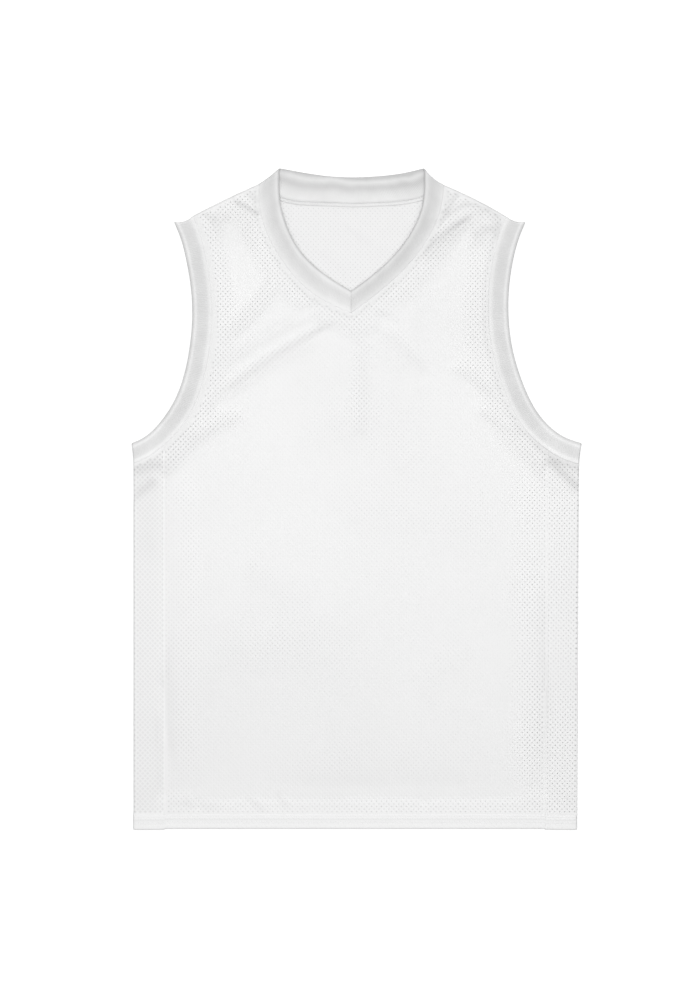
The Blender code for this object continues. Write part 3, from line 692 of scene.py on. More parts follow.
# %% The net of diamonds
EYELET_WIDE, EYELET_TALL = 0.51, 0.54       # half a hole, to its corners
HALF_CELL = np.array([EYELET_ACROSS, EYELET_UP]) / 2.0
RIM = 0.45                                  # the net stays this far inside the panel's edge
HOLE = np.radians([90.0, 30.0, -30.0, -90.0, -150.0, 150.0])
HOLE = np.stack([np.cos(HOLE) * EYELET_WIDE, np.sin(HOLE) * EYELET_TALL], axis=1)


def eyelets(outline, ring, clear, origin):
    """Grid numbers and centres of the eyelets that fit in an outline."""
    low, high = ((corner - origin) / HALF_CELL for corner in (ring.min(axis=0), ring.max(axis=0)))
    i, j = (np.arange(math.floor(a), math.ceil(b) + 1) for a, b in zip(low, high))
    i, j = (numbers.ravel() for numbers in np.meshgrid(i, j))
    keys = np.stack([i, j], axis=1)[(i + j) % 2 == 0]
    keys = keys[inside(origin + keys * HALF_CELL, ring)]
    centre = origin + keys * HALF_CELL
    keep = np.ones(len(keys), dtype=bool)
    for name, line in outline:
        keep &= nearest(line, centre)[0] > clear.get(name, clear[name.split()[-1]])
    return keys[keep], centre[keep]


def net(keys, centre, ring, origin):
    """Corners of the diamonds, rims of their holes, triangles, and the net's outer edges."""
    # corners: east, north, west, south
    around = keys[:, None] + np.array([(1, 0), (0, 1), (-1, 0), (0, -1)])
    corner_keys, corner = np.unique(around.reshape(-1, 2), axis=0, return_inverse=True)
    corners = origin + corner_keys * HALF_CELL
    far, close = nearest(looped(ring), corners)
    within = inside(corners, ring)
    inward = np.where(within[:, None], corners - close, close - corners)
    inward = inward / np.maximum(far, 1e-6)[:, None]
    near = ~within | (far < RIM)
    corners[near] = close[near] + inward[near] * RIM

    rims = (centre[:, None] + HOLE).reshape(-1, 2)
    h = (len(corners) + np.arange(len(centre))[:, None] * 6 + np.arange(6)).T
    e, n, w, s = corner.reshape(-1, 4).T
    triangles = np.concatenate([np.stack(t, axis=1) for t in (
        (n, h[0], h[1]), (n, h[1], e), (e, h[1], h[2]), (e, h[2], s), (s, h[2], h[3]),
        (s, h[3], h[4]), (s, h[4], w), (w, h[4], h[5]), (w, h[5], n), (n, h[5], h[0]))])
    # an edge that only one diamond has is an outer edge
    sides = np.concatenate([np.stack(p, axis=1) for p in ((e, n), (n, w), (w, s), (s, e))])
    _, first, uses = np.unique(np.sort(sides, axis=1), axis=0, return_index=True,
                               return_counts=True)
    return corners, rims, triangles, sides[first[uses == 1]]


# %% The plain margin
MARGIN_ROWS = (0.7, 1.5, 2.6)               # rows of plain margin, from the edge
NET_CLEAR = 0.8                             # they keep this far from the net


def margin_rows(ring, border):
    """Points between a panel's edge and the outer edges of its net."""
    ahead = np.roll(ring, -1, axis=0) - np.roll(ring, 1, axis=0)
    normal = unit(np.stack([-ahead[:, 1], ahead[:, 0]], axis=1))
    if inside(ring + normal * 0.2, ring).mean() < 0.5:
        normal = -normal
    rows = np.vstack([ring + normal * offset for offset in MARGIN_ROWS])
    offsets = np.repeat(MARGIN_ROWS, len(ring))
    fits = inside(rows, ring) & ~crossings(rows, border[:, 0], border[:, 1])
    fits &= nearest(looped(ring), rows)[0] > offsets - 0.12
    fits &= closest(rows, np.vstack([border[:, 0], border.mean(axis=1)]))[0] > NET_CLEAR
    return rows[fits]


def fill_margin(ring, corners, border, rows):
    """The net's corners that the margin uses, and its triangles over ring, those and rows."""
    used, edges = np.unique(border, return_inverse=True)
    flat, count = np.vstack([ring, corners[used], rows]), len(ring)
    edges = [(k, (k + 1) % count) for k in range(count)] + (edges.reshape(-1, 2) + count).tolist()
    _, _, faces, origins, _, _ = delaunay_2d_cdt(
        [Vector(p) for p in flat], edges, [], 0, 1e-6, True)
    lookup = np.array([o[0] if o else -1 for o in origins])
    faces = lookup[np.array([f for f in faces if len(f) == 3])]
    faces = faces[(faces >= 0).all(axis=1)]
    middle = flat[faces].mean(axis=1)
    hole = corners[border]
    faces = faces[inside(middle, ring) & ~crossings(middle, hole[:, 0], hole[:, 1])]
    a, b, c = (flat[faces[:, k]] for k in range(3))
    area = (b[:, 0] - a[:, 0]) * (c[:, 1] - a[:, 1]) - (b[:, 1] - a[:, 1]) * (c[:, 0] - a[:, 0])
    faces[area < 0.0] = faces[area < 0.0][:, ::-1]
    return used, faces[np.abs(area) > 1e-3]


# %% Pave a panel with eyelets
EYELET_DIP = 0.20                           # the hole's rim lies this much deeper
# painted shade: the hole's rim is painted darker, by this much
PAINTED_RIM_SHADE = 0.02                            # and is darker, where there is depth under the hole


def pave(outline, clear, origin):
    """Net and margin of one flat panel.

    outline is the panel's edge as (name, line) pairs in order. clear is how far the centre of a
    hole keeps from each line, and a hole lies at the origin. Returns flat points, how much each
    is part of a hole's rim, triangles, and the number of the outline's first point.
    """
    ring = np.vstack([line[:-1] for _, line in outline])
    keys, centre = eyelets(outline, ring, clear, origin)
    corners, rims, triangles, border = net(keys, centre, ring, origin)
    rows = margin_rows(ring, corners[border])
    used, faces = fill_margin(ring, corners, border, rows)
    # one list of points: corners, rims of the holes, the panel's edge, then the margin's rows
    first_edge = len(corners) + len(rims)
    place = np.concatenate([first_edge + np.arange(len(ring)), used,
                            first_edge + len(ring) + np.arange(len(rows))])
    points = np.vstack([corners, rims, ring, rows])
    rim_share = np.zeros(len(points))
    rim_share[len(corners):first_edge] = 1.0
    print(f"  {len(centre)} eyelets, {len(faces)} margin triangles")
    return points, rim_share, np.vstack([triangles, place[faces]]), first_edge


def line_distance(outline, names, points):
    """Distance to the closest of the outline's lines with these names."""
    found = [nearest(line, points)[0] for name, line in outline if name.split()[-1] in names]
    return np.min(found, axis=0)

# %% [markdown]
# ## The front
# The front panel runs from the hem to the shoulders and turns over the shoulder to meet the back.
# Along the armholes and the neck the seam pulls the cloth down into a groove, and the allowance
# under it makes a low plateau beside the groove. The side seams stand up as thin ridges.

# %% The front at the shoulder
SHOULDER_COLUMNS = 60


def shoulder_rows(side):
    """Plan rows at the shoulder: where the turn starts, the fold, and two rows on the back."""
    share = np.linspace(0.0, 1.0, SHOULDER_COLUMNS)[:, None]
    neck = front_neck_pair(side, 1.0, -TUCK)[1][0]
    arm = mirrored(armhole_seam(side, armhole_inset(side)), side)[0]
    corner_in = front_neck_pair(side, 1.0, -TUCK, 0.0)[1][0]
    corner_out = mirrored(armhole_seam(side, 0.0), side)[0]
    outward = unit(np.array([corner_out[1] - corner_in[1], corner_in[0] - corner_out[0]]))
    outward = outward * np.sign(outward[1])
    bow = CORNERS[side][5] * 4.0 * share * (1.0 - share)
    fold = lerp(corner_in, corner_out, share) + bow * outward
    seam, rows = back_neck("seam"), []
    for inset in (TURN_INSET, SHOULDER_FLAP):
        at = inset / seam.length
        at = at if side == "right" else 1.0 - at
        low = pair_at(back_neck("edge"), seam, at, 0.0, 0.0, -TUCK)[1][0]
        high = mirrored(armhole_seam(side, armhole_inset(side, inset)), side)[0]
        rows.append(lerp(low, high, share))
    return lerp(neck, arm, share), fold, rows[0], rows[1]


# %% Outline of the front
EDGE_STEP = 1.3           # between the points of a panel's edge
HEM_EDGE = 16.2           # the mesh ends here, under the upper edge of the hem


def side_seam(side, low, high):
    """Edge of the front or the back along a side seam, between two heights."""
    up = np.linspace(low, high, 200)
    return mirrored(np.stack([side_lines(side, up)[1] - TOUCH, up], axis=1), side)


def front_outline():
    lines = {}
    for side in SIDES:
        shares = np.linspace(corner_share(side, -TOUCH), armhole_inset(side), 300)
        armhole = mirrored(armhole_seam(side, shares), side)[::-1]
        neck = front_neck_pair(side, np.linspace(0.0, 1.0, 300), -TUCK)[1]
        seam = side_seam(side, armhole[-1, 1], HEM_EDGE + PANEL_HEM_UP)
        lines[side] = [("neck", resample(neck, EDGE_STEP)), ("shoulder", shoulder_rows(side)[0]),
                       (f"{side} armhole", resample(armhole, EDGE_STEP)),
                       ("side", resample(seam, EDGE_STEP))]
    hem = np.array([lines["right"][3][1][-1], lines["left"][3][1][-1]])
    back_up = [(name, line[::-1]) for name, line in lines["left"][::-1]]
    return lines["right"] + [("hem", resample(hem, EDGE_STEP))] + back_up


outline = front_outline()
gaps = [np.linalg.norm(a[1][-1] - b[1][0]) for a, b in zip(outline, outline[1:] + outline[:1])]
print("Largest gap in the front's outline:", round(max(gaps), 4), "mm")


# %% Seams press into the cloth
SEAM_GROOVE, SEAM_PLATEAU, SIDE_RIDGE = 0.22, 0.12, 0.24
GROOVE_WIDTH = 1.2


def fading(distance, start, width):
    """1 up to a distance, then an even fall to 0 over a width."""
    return 1.0 - smooth((distance - start) / width)


def seam_relief(outline, points, plan, painted_seam_shadow):
    """Groove, plateau and side-seam ridge, and painted light and shade beside them and at folds.
    """
    band = line_distance(outline, ("neck", "armhole"), points)
    side = line_distance(outline, ("side",), points)
    relief = SIDE_RIDGE * fading(side, 0.1, 1.0) - SEAM_GROOVE * fading(band, 0.0, GROOVE_WIDTH)
    relief += SEAM_PLATEAU * smooth((band - 0.6) / GROOVE_WIDTH) * fading(band, 4.2, 1.6)
    # painted shade on the plateau beside bands and collar, painted light on a side seam's ridge,
    # painted shade at the folds, and a painted shadow where the cloth goes under a band
    shade = 1.0 - 0.05 * fading(band, 4.5, 5.0) + 0.015 * fading(side, 0.1, 0.7)
    shade -= np.clip(fold_lift(plan, PAINTED_SHADE_AND_LIGHT, 0.2, 0.2), -0.05, 0.22)
    return relief, shade - painted_seam_shadow * fading(band, 0.2, 1.1)


# %% Pave the front
front_flat, front_rim, front_faces, front_edge = pave(outline, {
    "neck": 3.5, "shoulder": 1.1, "armhole": 6.3, "left armhole": 2.6, "side": 1.7, "hem": 1.5,
}, np.array([0.0, 300.0]))
front_z = front_shell(front_flat) - EYELET_DIP * front_rim
across, up = front_flat.T
# a painted shadow where the mesh goes under the band at the left underarm
left_underarm = smooth((across - 178.0) / 14.0) * smooth((456.0 - up) / 14.0)
relief, front_painted_shade = seam_relief(outline, front_flat, front_flat, 0.20 * left_underarm)
# the rims get painted shade below the V, and most beside the side seams
below = smooth((610.0 - up) / 60.0) * smooth((up - 40.0) / 20.0)
beside = smooth((np.abs(across) - 172.0) / 14.0)
painted_rim_depth = PAINTED_RIM_SHADE * (1.0 + below * (1.0 + 1.6 * beside))
front_painted_shade -= painted_rim_depth * front_rim * smooth((front_z - 1.9) / 2.0)
front_z += relief
front_points = np.column_stack([front_flat, front_z])


# %% Join parts and make grids
def join(parts):
    """One mesh from (points, faces, map) parts, welded where points coincide."""
    points, faces, maps, start = [], [], [], 0
    for p, f, m in parts:
        points.append(p)
        faces.append(np.asarray(f) + start)
        maps.append(m)
        start += len(p)
    points, maps = np.vstack(points), np.vstack(maps)
    _, first, same = np.unique(np.round(points, 3), axis=0, return_index=True, return_inverse=True)
    same = same.ravel()
    faces = [tuple(same[f]) for part in faces for f in part]
    faces = [f for f in faces if len(set(f)) == len(f)]
    return points[first], faces, maps[first]


def cells(rows, columns):
    """Row and column number of every cell of a grid, row by row."""
    r, c = np.meshgrid(np.arange(rows), np.arange(columns), indexing="ij")
    return r.ravel(), c.ravel()


def grid_faces(rows, columns, close_rows=False, close_columns=False):
    """Quads of a grid of points, stored row by row."""
    r, c = cells(rows if close_rows else rows - 1, columns if close_columns else columns - 1)
    up, right = (r + 1) % rows, (c + 1) % columns
    corners = ((r, c), (r, right), (up, right), (up, c))
    return np.stack([row * columns + column for row, column in corners], axis=1)


# %% Turn the front over the shoulders
SHOULDER_STEPS = 14       # rows round the turn


def shoulder_turn(side, edge_points):
    """The strip of the front that goes over one shoulder, starting from the panel's own points."""
    start, fold, back, end = shoulder_rows(side)
    round_points, normals = turn(start, fold, back, front_top(start), SHOULDER_STEPS)
    rows = [edge_points] + [p - n * SHELL_DOWN for p, n in zip(round_points, normals)]
    rows += [np.column_stack([lerp(back, end, w), np.full(len(back), SHELL_DOWN)])
             for w in (0.0, 0.5, 1.0)]
    rows = np.array(rows)
    # near the two ends the strip follows the groove of the seams
    run = along(start)
    into = SEAM_GROOVE * fading(np.minimum(run, run[-1] - run), 0.0, GROOVE_WIDTH)
    level = np.cos(np.linspace(0.0, math.pi, SHOULDER_STEPS + 1))[1:SHOULDER_STEPS].clip(0.0)
    rows[1:SHOULDER_STEPS, :, 2] -= np.outer(level, into)
    step = np.linalg.norm(np.diff(rows, axis=0), axis=2).mean(axis=1)
    reach = np.concatenate([[0.0], np.cumsum(step)])
    maps = np.array([start + np.array([0.0, r]) for r in reach])
    # painted shade: the cloth is painted darker as it turns over the shoulder, away from the light
    shade = 0.97 - 0.08 * smooth(np.arange(len(rows)) / 5.0)
    shade = np.broadcast_to(shade[:, None, None], maps.shape[:2] + (1,))
    maps = np.concatenate([maps, shade], axis=2)
    faces = grid_faces(*rows.shape[:2])
    # the middle of the first row of faces has to look up
    a, b, c = (rows.reshape(-1, 3)[faces[len(faces) // 14 // 2, k]] for k in (0, 1, 3))
    if np.cross(b - a, c - a)[2] < 0.0:
        faces = faces[:, ::-1]
    return rows.reshape(-1, 3), faces, maps.reshape(-1, 3)


def shoulder_numbers(side):
    """Numbers of the front's points that lie on one shoulder line."""
    start = front_edge
    for name, line in outline:
        if name == "shoulder" and np.sign(line[:, 0].mean()) == SIDES[side]:
            return np.arange(start, start + len(line))
        start += len(line) - 1


parts = [(front_points, front_faces, np.column_stack([front_flat, front_painted_shade]))]
for side in SIDES:
    edge_points = front_points[shoulder_numbers(side)]
    parts.append(shoulder_turn(side, edge_points if side == "right" else edge_points[::-1]))
points, faces, maps = join(parts)
corner_map = maps[np.concatenate([np.array(f) for f in faces])]
front_cloth = make_piece("front_cloth", points, faces, corner_map[:, :2], ["front_panel"],
                         mesh_knit, shade=corner_map[:, 2])

# %% [markdown]
# ## The back
# The back lies on the ground under the front, and shows only through the neck. It is the same
# net, moved a quarter of a cell across and up, so that its holes lie between the front's. Where
# it has slack it lifts off the ground in soft creases, never as high as the front.

# %% Outline of the back
# start x and y, end x and y, bow, height, width
BACK_CREASES = (
    (-60, 660, 20, 600, 8, 0.55, 7), (-20, 690, 60, 640, -6, 0.5, 6),
    (-150, 600, -40, 520, 10, 0.7, 9), (30, 520, 150, 600, 10, 0.7, 9),
    (-190, 400, -90, 470, -8, 0.7, 9), (190, 410, 80, 460, 8, 0.6, 10),
    (-170, 300, 20, 340, 14, 0.6, 14), (170, 250, -10, 190, 12, 0.6, 14),
    (-160, 60, 10, 140, 10, 0.6, 12), (120, 50, 180, 160, -8, 0.6, 10),
)


def back_outline():
    lines, near = {}, SHOULDER_FLAP / back_neck("seam").length

    def neck_at(share):
        return pair_at(back_neck("edge"), back_neck("seam"), share, 0.0, 0.0, -TUCK)[1]

    for side in SIDES:
        shares = np.linspace(corner_share(side, -TOUCH), armhole_inset(side, SHOULDER_FLAP), 300)
        armhole = mirrored(armhole_seam(side, shares), side)
        seam = side_seam(side, HEM_EDGE + PANEL_HEM_UP, armhole[0, 1])
        shoulder = np.vstack([armhole[-1:], neck_at(near if side == "right" else 1.0 - near)])
        lines[side] = [(name, resample(line, EDGE_STEP)) for name, line in (
            ("side", seam), ("armhole", armhole), ("shoulder", shoulder))]
    neck = neck_at(np.linspace(near, 1.0 - near, 300))
    hem = np.array([lines["left"][0][1][0], lines["right"][0][1][0]])
    down = [(name, line[::-1]) for name, line in lines["left"][::-1]]
    return lines["right"] + [("neck", resample(neck, EDGE_STEP))] + down + [
        ("hem", resample(hem, EDGE_STEP))]


# %% Back panel
BACK_LEVEL, BACK_EDGE_DOWN = 1.1, 0.7       # height of the back's shell; its seams lie lower


def back_height(points):
    """The back's shell: just under the front, lower at its side seams, creased in the neck."""
    edge = line_distance(outline_back, ("side", "armhole", "shoulder"), points)
    low = BACK_EDGE_DOWN * fading(edge, 0.0, 9.0)
    crease = np.clip(fold_lift(points, BACK_CREASES), -0.5, 0.6)
    return BACK_LEVEL - low + np.where(inside(points, neck_ring), 1.0, 0.2) * crease


neck_ring = np.vstack([front_neck_pair("right", np.linspace(0, 1, 60))[0],
                       back_neck_pair(np.linspace(0, 1, 60))[1],
                       front_neck_pair("left", np.linspace(0, 1, 60))[0][::-1]])
outline_back = back_outline()
back_flat, back_rim, back_faces, _ = pave(
    outline_back, {"neck": 4.6, "shoulder": 1.5, "armhole": 6.3, "side": 1.9, "hem": 1.5},
    np.array([EYELET_ACROSS / 4.0, 300.0 + EYELET_UP / 4.0]))
back_z = back_height(back_flat) - 0.10 * back_rim
points = np.column_stack([back_flat, back_z])
# painted shade: the back is painted a little darker, and a little more in the neck, where it lies
# deep under the collar
back_painted_shade = np.where(inside(back_flat, neck_ring), 0.97, 0.98)
back_cloth = make_piece("back_cloth", points, back_faces, back_flat[back_faces.ravel()],
                        ["back_panel"], mesh_knit, shade=back_painted_shade[back_faces.ravel()])

# %% [markdown]
# ## The side panels
# Each side panel is one strip that wraps round the side of the tube, from the front's seam to the
# back's. It is paved flat, and then every point is carried round the turn by its distance from
# the front seam.

# %% Round the side
TURN_ARC = 8.6            # length of cloth in the turn itself
SIDE_ROOM = 0.15          # the turn stands this far outside the line of the fold
SIDE_LOW = SHELL_DOWN + 0.1             # height of the strip where it lies on the ground


def side_place(side, flat):
    """Carries (distance from the front seam, y) round the side of the tube."""
    fold, seam = side_lines(side, flat[:, 1])
    fold = np.minimum(fold, armhole_seam(side, 1.0)[0, 0])
    seam = seam + TOUCH
    run = fold - TURN_INSET - seam
    u = flat[:, 0]
    share = np.clip((u - run) / TURN_ARC, 0.0, 1.0)
    out = np.where(u > run + TURN_ARC, seam + 2.0 * run + TURN_ARC - u, fold - TURN_INSET)
    out = np.where(u < run, seam + u, out)
    start = np.minimum(seam + np.minimum(u, run), fold - TURN_INSET)
    top = front_shell(mirrored(np.stack([start, flat[:, 1]], axis=1), side))
    angle = math.pi * share
    plan = out + (TURN_INSET + SIDE_ROOM) * np.sin(angle).clip(0.0) ** 0.6
    height = np.where(u < run, top, SIDE_LOW + 0.5 * (top - SIDE_LOW) * (1.0 + np.cos(angle)))
    normal = np.stack([SIDES[side] * np.sin(angle), np.zeros(len(u)), np.cos(angle)], axis=1)
    return np.column_stack([SIDES[side] * plan, flat[:, 1], height]), normal


# %% Outline of a side panel
def side_outline(side):
    """The strip as it is cut, with its front seam along x = 0."""
    low = HEM_EDGE
    fold, seam = side_lines(side, np.array([low]))
    shares = np.linspace(corner_share(side, TOUCH), 1.0 - armhole_inset(side), 60)
    rim = armhole_seam(side, shares)
    run = np.maximum(rim[:, 0] - (side_lines(side, rim[:, 1])[1] + TOUCH), 0.0)
    full = 2.0 * run[-1] + TURN_ARC
    front_top_line = np.stack([run, rim[:, 1]], axis=1)
    back_top_line = np.stack([full - run[::-1], rim[::-1, 1]], axis=1)
    foot = 2.0 * (fold[0] - TURN_INSET - seam[0] - TOUCH) + TURN_ARC
    lines = (("side", ([0.0, low], front_top_line[0])),
             ("armhole", (front_top_line, back_top_line)),
             ("side", (back_top_line[-1], [foot, low])),
             ("hem", ([foot, low], [0.0, low])))
    return [(name, resample(np.vstack(line), EDGE_STEP)) for name, line in lines]


# %% Side panels
# painted shade: how much darker the seam under the band and the rims are painted; painted light:
# how much lighter all the cloth is painted
SIDE_PAINTED_SHADES = {"right": (0.03, 0.10, 0.044), "left": (0.20, 0.03, 0.012)}
for side in SIDES:
    edge = side_outline(side)
    flat, rim, triangles, _ = pave(
        edge, {"armhole": 3.4, "side": 1.7, "hem": 1.5}, np.array([2.2, 300.0 - EYELET_UP / 2.0]))
    place, normal = side_place(side, flat)
    painted_seam_shadow, painted_rim_shade, painted_light = SIDE_PAINTED_SHADES[side]
    relief, shade = seam_relief(edge, flat, place[:, :2], painted_seam_shadow)
    shade -= painted_rim_shade * rim
    # more painted light at the fold, where the cloth turns from the light; the level goes from 1
    # on top to -1 underneath
    level = normal[:, 2]
    shade += painted_light + 0.09 * smooth((level - 1.0) / -0.4) * smooth((level + 0.6) / 0.4)
    place = place + normal * (relief - EYELET_DIP * rim)[:, None]
    place[:, 2] = np.maximum(place[:, 2], 0.12)
    if side == "right":
        triangles = triangles[:, ::-1]
    make_piece(
        f"{side}_side_cloth", place, triangles, flat[triangles.ravel()],
        [f"{side}_side_panel"], mesh_knit, shade=shade[triangles.ravel()])

# %% [markdown]
# ## Ribbed bands
# A rib band is a strip of knit folded along its free edge and sewn down along the other. Seen
# across, it has a round edge, a slightly sunken stripe of ribs and a low welt beside the seam.
# That section is a short table, carried along the band's route, and every half millimetre the
# route steps a quarter of a rib, so the ribs themselves are modelled.

# %% Section of a band
# across in mm for a 22.5 mm band, depth under the outer face, how much of the rib shows
BAND_SECTION = (
    (0.00, 1.00, 0.1), (0.10, 0.60, 0.3), (0.38, 0.24, 0.5), (0.90, 0.06, 0.5),
    (1.8, 0.00, 0.5), (2.9, 0.02, 0.6), (3.8, 0.14, 0.8), (4.8, 0.24, 1.0),
    (8.5, 0.28, 1.0), (12.5, 0.28, 1.0), (16.3, 0.26, 1.0), (17.8, 0.20, 0.9),
    (18.9, 0.08, 0.6), (19.8, -0.02, 0.45), (20.7, 0.00, 0.4), (21.5, 0.08, 0.3),
    (22.2, 0.20, 0.2), (22.5, 0.70, 0.1),
    (22.1, 1.88, 0.2), (20.0, 2.00, 0.5), (15.0, 1.80, 1.0), (8.5, 1.78, 1.0),
    (3.8, 1.84, 0.8), (1.2, 1.98, 0.5), (0.35, 1.68, 0.4),
)
SECTION = np.array(BAND_SECTION)
OUTER = 18                # the first rows are the outer face, the others the inner one
MIDDLE = 9                # the row in the middle of the outer face
section_run = along(looped(SECTION[:, :2]))
RIB_SECTION = float(section_run[-1])
print("Round one band's section:", round(RIB_SECTION, 1), "mm")

# %% Tones of the ribs
# distance from the free edge and how light the outer face is there, of a band and of the collar;
# a rib's own grey with painted shade, darkest at the turned edge and across the sunken stripe
BAND_TONE_AND_SHADE = (
    (0.2, 0.59), (1.6, 0.62), (2.6, 0.71), (3.7, 0.785), (4.7, 0.765), (6.4, 0.69), (9.0, 0.67),
    (14.5, 0.675), (17.0, 0.70), (18.6, 0.76), (20.0, 0.79), (22.4, 0.785),
)
COLLAR_TONE_AND_SHADE = (
    (0.2, 0.57), (1.3, 0.615), (2.2, 0.745), (3.6, 0.755), (6.0, 0.69), (9.0, 0.66),
    (13.0, 0.685), (17.0, 0.715), (19.0, 0.75), (20.5, 0.775), (22.4, 0.775),
)
# the same for the inner face, back to that edge, with painted shade across its middle
INNER_TONE_AND_SHADE = (
    (21.0, 0.78), (17.5, 0.76), (14.3, 0.715), (12.0, 0.66), (10.0, 0.605), (8.2, 0.61),
    (4.6, 0.745), (3.4, 0.72), (2.2, 0.65), (1.0, 0.57),
)
INNER_ROWS = slice(len(SECTION) - 1, OUTER - 1, -1)
INNER_FROM = 0.52         # share of the way round the section where the inner face begins


def around_section(outer_tones):
    """Ramp stops round the section."""
    stops = [(np.interp(mm, SECTION[:OUTER, 0], section_run[:OUTER]), tone)
             for mm, tone in outer_tones]
    stops += [(np.interp(mm, SECTION[INNER_ROWS, 0], section_run[:-1][INNER_ROWS]), tone)
              for mm, tone in INNER_TONE_AND_SHADE]
    return [(float(run) / RIB_SECTION, tone) for run, tone in stops]


def rib_finish(name, tones, length, along_light_and_shade):
    """Doubled rib: tone and painted shade go round the section, painted light and shade along it.
    """
    material, tree, shader = new_finish(name, 0.85, 0.1)
    vector, run, around = uv_axes(tree, "cloth")
    place = math_node(tree, "DIVIDE", around, RIB_SECTION * MM)
    # painted shade: the inner face is painted unevenly darker along its length, the outer not
    shade_waver = math_node(tree, "SUBTRACT", noise(tree, vector, 34.0, 1.0), 0.5)
    inner = math_node(tree, "GREATER_THAN", place, INNER_FROM)
    shade_waver = math_node(tree, "MULTIPLY", shade_waver, inner)
    place = math_node(tree, "MULTIPLY_ADD", shade_waver, 0.14, place)
    cloud = ramp(tree, noise(tree, vector, 22.0), ((0.3, 0.94), (0.65, 1.0)))
    tone = multiply(tree, ramp(tree, place, tones), cloud)
    share = math_node(tree, "DIVIDE", run, length * MM)
    tone = multiply(tree, tone, ramp(tree, share, along_light_and_shade))
    tree.links.new(tone, shader.inputs["Base Color"])
    loops = wave(tree, around, 0.8)
    fuzz = noise(tree, vector, 0.45, 3.0)
    bump(tree, shader, math_node(tree, "MULTIPLY_ADD", fuzz, 1.0, loops), 0.05)
    return material


print("Ramp stops round a band:", len(around_section(BAND_TONE_AND_SHADE)))


# %% Carry the section along a route
RIB_WAVE = np.array([-1.0, 0.35, 1.0, 0.35])       # valley, flank, crest, flank
RIB_DEPTH = 0.13
RIB_STATION = 0.5         # a quarter of a rib
LOWEST = 0.03             # bands and hem end this far over the ground


def rib_strip(points, normals, closed):
    """Points and quads of a strip whose grid has one column for each row of the section."""
    wave_at = RIB_WAVE[np.arange(len(points)) % 4][:, None] * SECTION[None, :, 2]
    outer = np.arange(len(SECTION)) < OUTER
    depth = SECTION[None, :, 1] - RIB_DEPTH * wave_at * np.where(outer, 1.0, -1.0)
    place = points - normals * depth[..., None]
    place[..., 2] = np.maximum(place[..., 2], LOWEST)
    return place.reshape(-1, 3), grid_faces(len(points), len(SECTION), closed, True)


def strip_map(run, around):
    """Cloth map for each corner of a strip's quads, from the lengths along and round it."""
    r, c = cells(len(run) - 1, len(around) - 1)
    u = np.stack([run[r], run[r], run[r + 1], run[r + 1]], axis=1)
    v = np.stack([around[c], around[c + 1], around[c + 1], around[c]], axis=1)
    return np.stack([u.ravel(), v.ravel()], axis=1)


def flipped(faces, uv):
    """The same quads, seen from the other side."""
    return faces[:, ::-1], uv.reshape(-1, 4, 2)[:, ::-1].reshape(-1, 2)


def upright(grid):
    """The direction up, at every place of a grid."""
    return np.broadcast_to([0.0, 0.0, 1.0], grid.shape[:2] + (3,))


def even_shares(line_at, low, high, multiple=4):
    """Shares that step evenly along a line, a whole number of ribs of them."""
    dense = np.linspace(low, high, 1200)
    run = along(line_at(dense))
    count = max(multiple, int(round(run[-1] / RIB_STATION / multiple)) * multiple)
    return np.interp(np.linspace(0.0, run[-1], count + 1), run, dense)


# %% Armhole bands
TURN_STATIONS = 16        # rows round the turned end of a band
# share of the band's length from the shoulder down, and the painted light there
BAND_ALONG_LIGHT = (
    (0.0, 1.03), (0.02, 1.02), (0.045, 1.0), (0.08, 1.0), (0.13, 1.02), (0.18, 1.01),
    (0.21, 1.03), (0.235, 1.09),
)
band_rib = rib_finish("armhole_band_rib", around_section(BAND_TONE_AND_SHADE),
                      4.0 * armhole_curve("right").length, BAND_ALONG_LIGHT)


def armhole_band(side):
    width = (SECTION[:, 0] / ARMBAND_WIDTH)[None, :, None]

    def plan_at(share):
        edge, across = armhole_line(side, share)
        bow = CORNERS[side][4] * 4.0 * width * (1.0 - width)
        bow = bow * smooth(1.0 - share / 0.1)[:, None, None] * np.array([0.3, 1.0])
        return mirrored(edge[:, None] + across[:, None] * width + bow, side)

    def seam_at(share):
        return mirrored(sum(armhole_line(side, share)), side)

    inset = armhole_inset(side)
    front = plan_at(even_shares(seam_at, inset, 1.0 - inset))
    top = front_top(front.reshape(-1, 2), 2.0 * RIB_WALL + LAYER_GAP).reshape(front.shape[:2])
    tip, under = plan_at(np.array([0.0]))[0], plan_at(np.array([1.0]))[0]
    low = turn(front[-1], under, front[-1], top[-1], TURN_STATIONS)
    high = turn(front[0], tip, front[0], top[0], TURN_STATIONS)
    ground = np.zeros(front.shape[:2])
    points = np.concatenate([np.dstack([front, top]), low[0], np.dstack([front, ground])[::-1],
                             high[0][::-1]])
    up = upright(front)
    normals = np.concatenate([up, low[1], -up, high[1][::-1]])
    place, faces = rib_strip(points, normals, True)
    run = along(points[:, MIDDLE])
    uv = strip_map(np.append(run, run[-1] + RIB_STATION), section_run)
    if side == "right":
        faces, uv = flipped(faces, uv)
    return make_piece(f"{side}_armhole_rib", place, faces, uv, [f"{side}_armhole_band"], band_rib,
                      bake_rows=5)


armhole_ribs = {side: armhole_band(side) for side in SIDES}

# %% [markdown]
# ## The collar
# The collar is the same rib, in one length: from the point of the V up one side of the neck, over
# the shoulder, along the back and down the other side. Its two ends meet in a mitre at the V.
# Behind the neck the eye sees the collar's inner face.

# %% Route of the collar
COLLAR_SHARE = (SECTION[:, 0] / SECTION[:, 0].max())[None, :, None]
MITRE_ROOM = 0.06         # the two ends stand this far from each other's line at the V


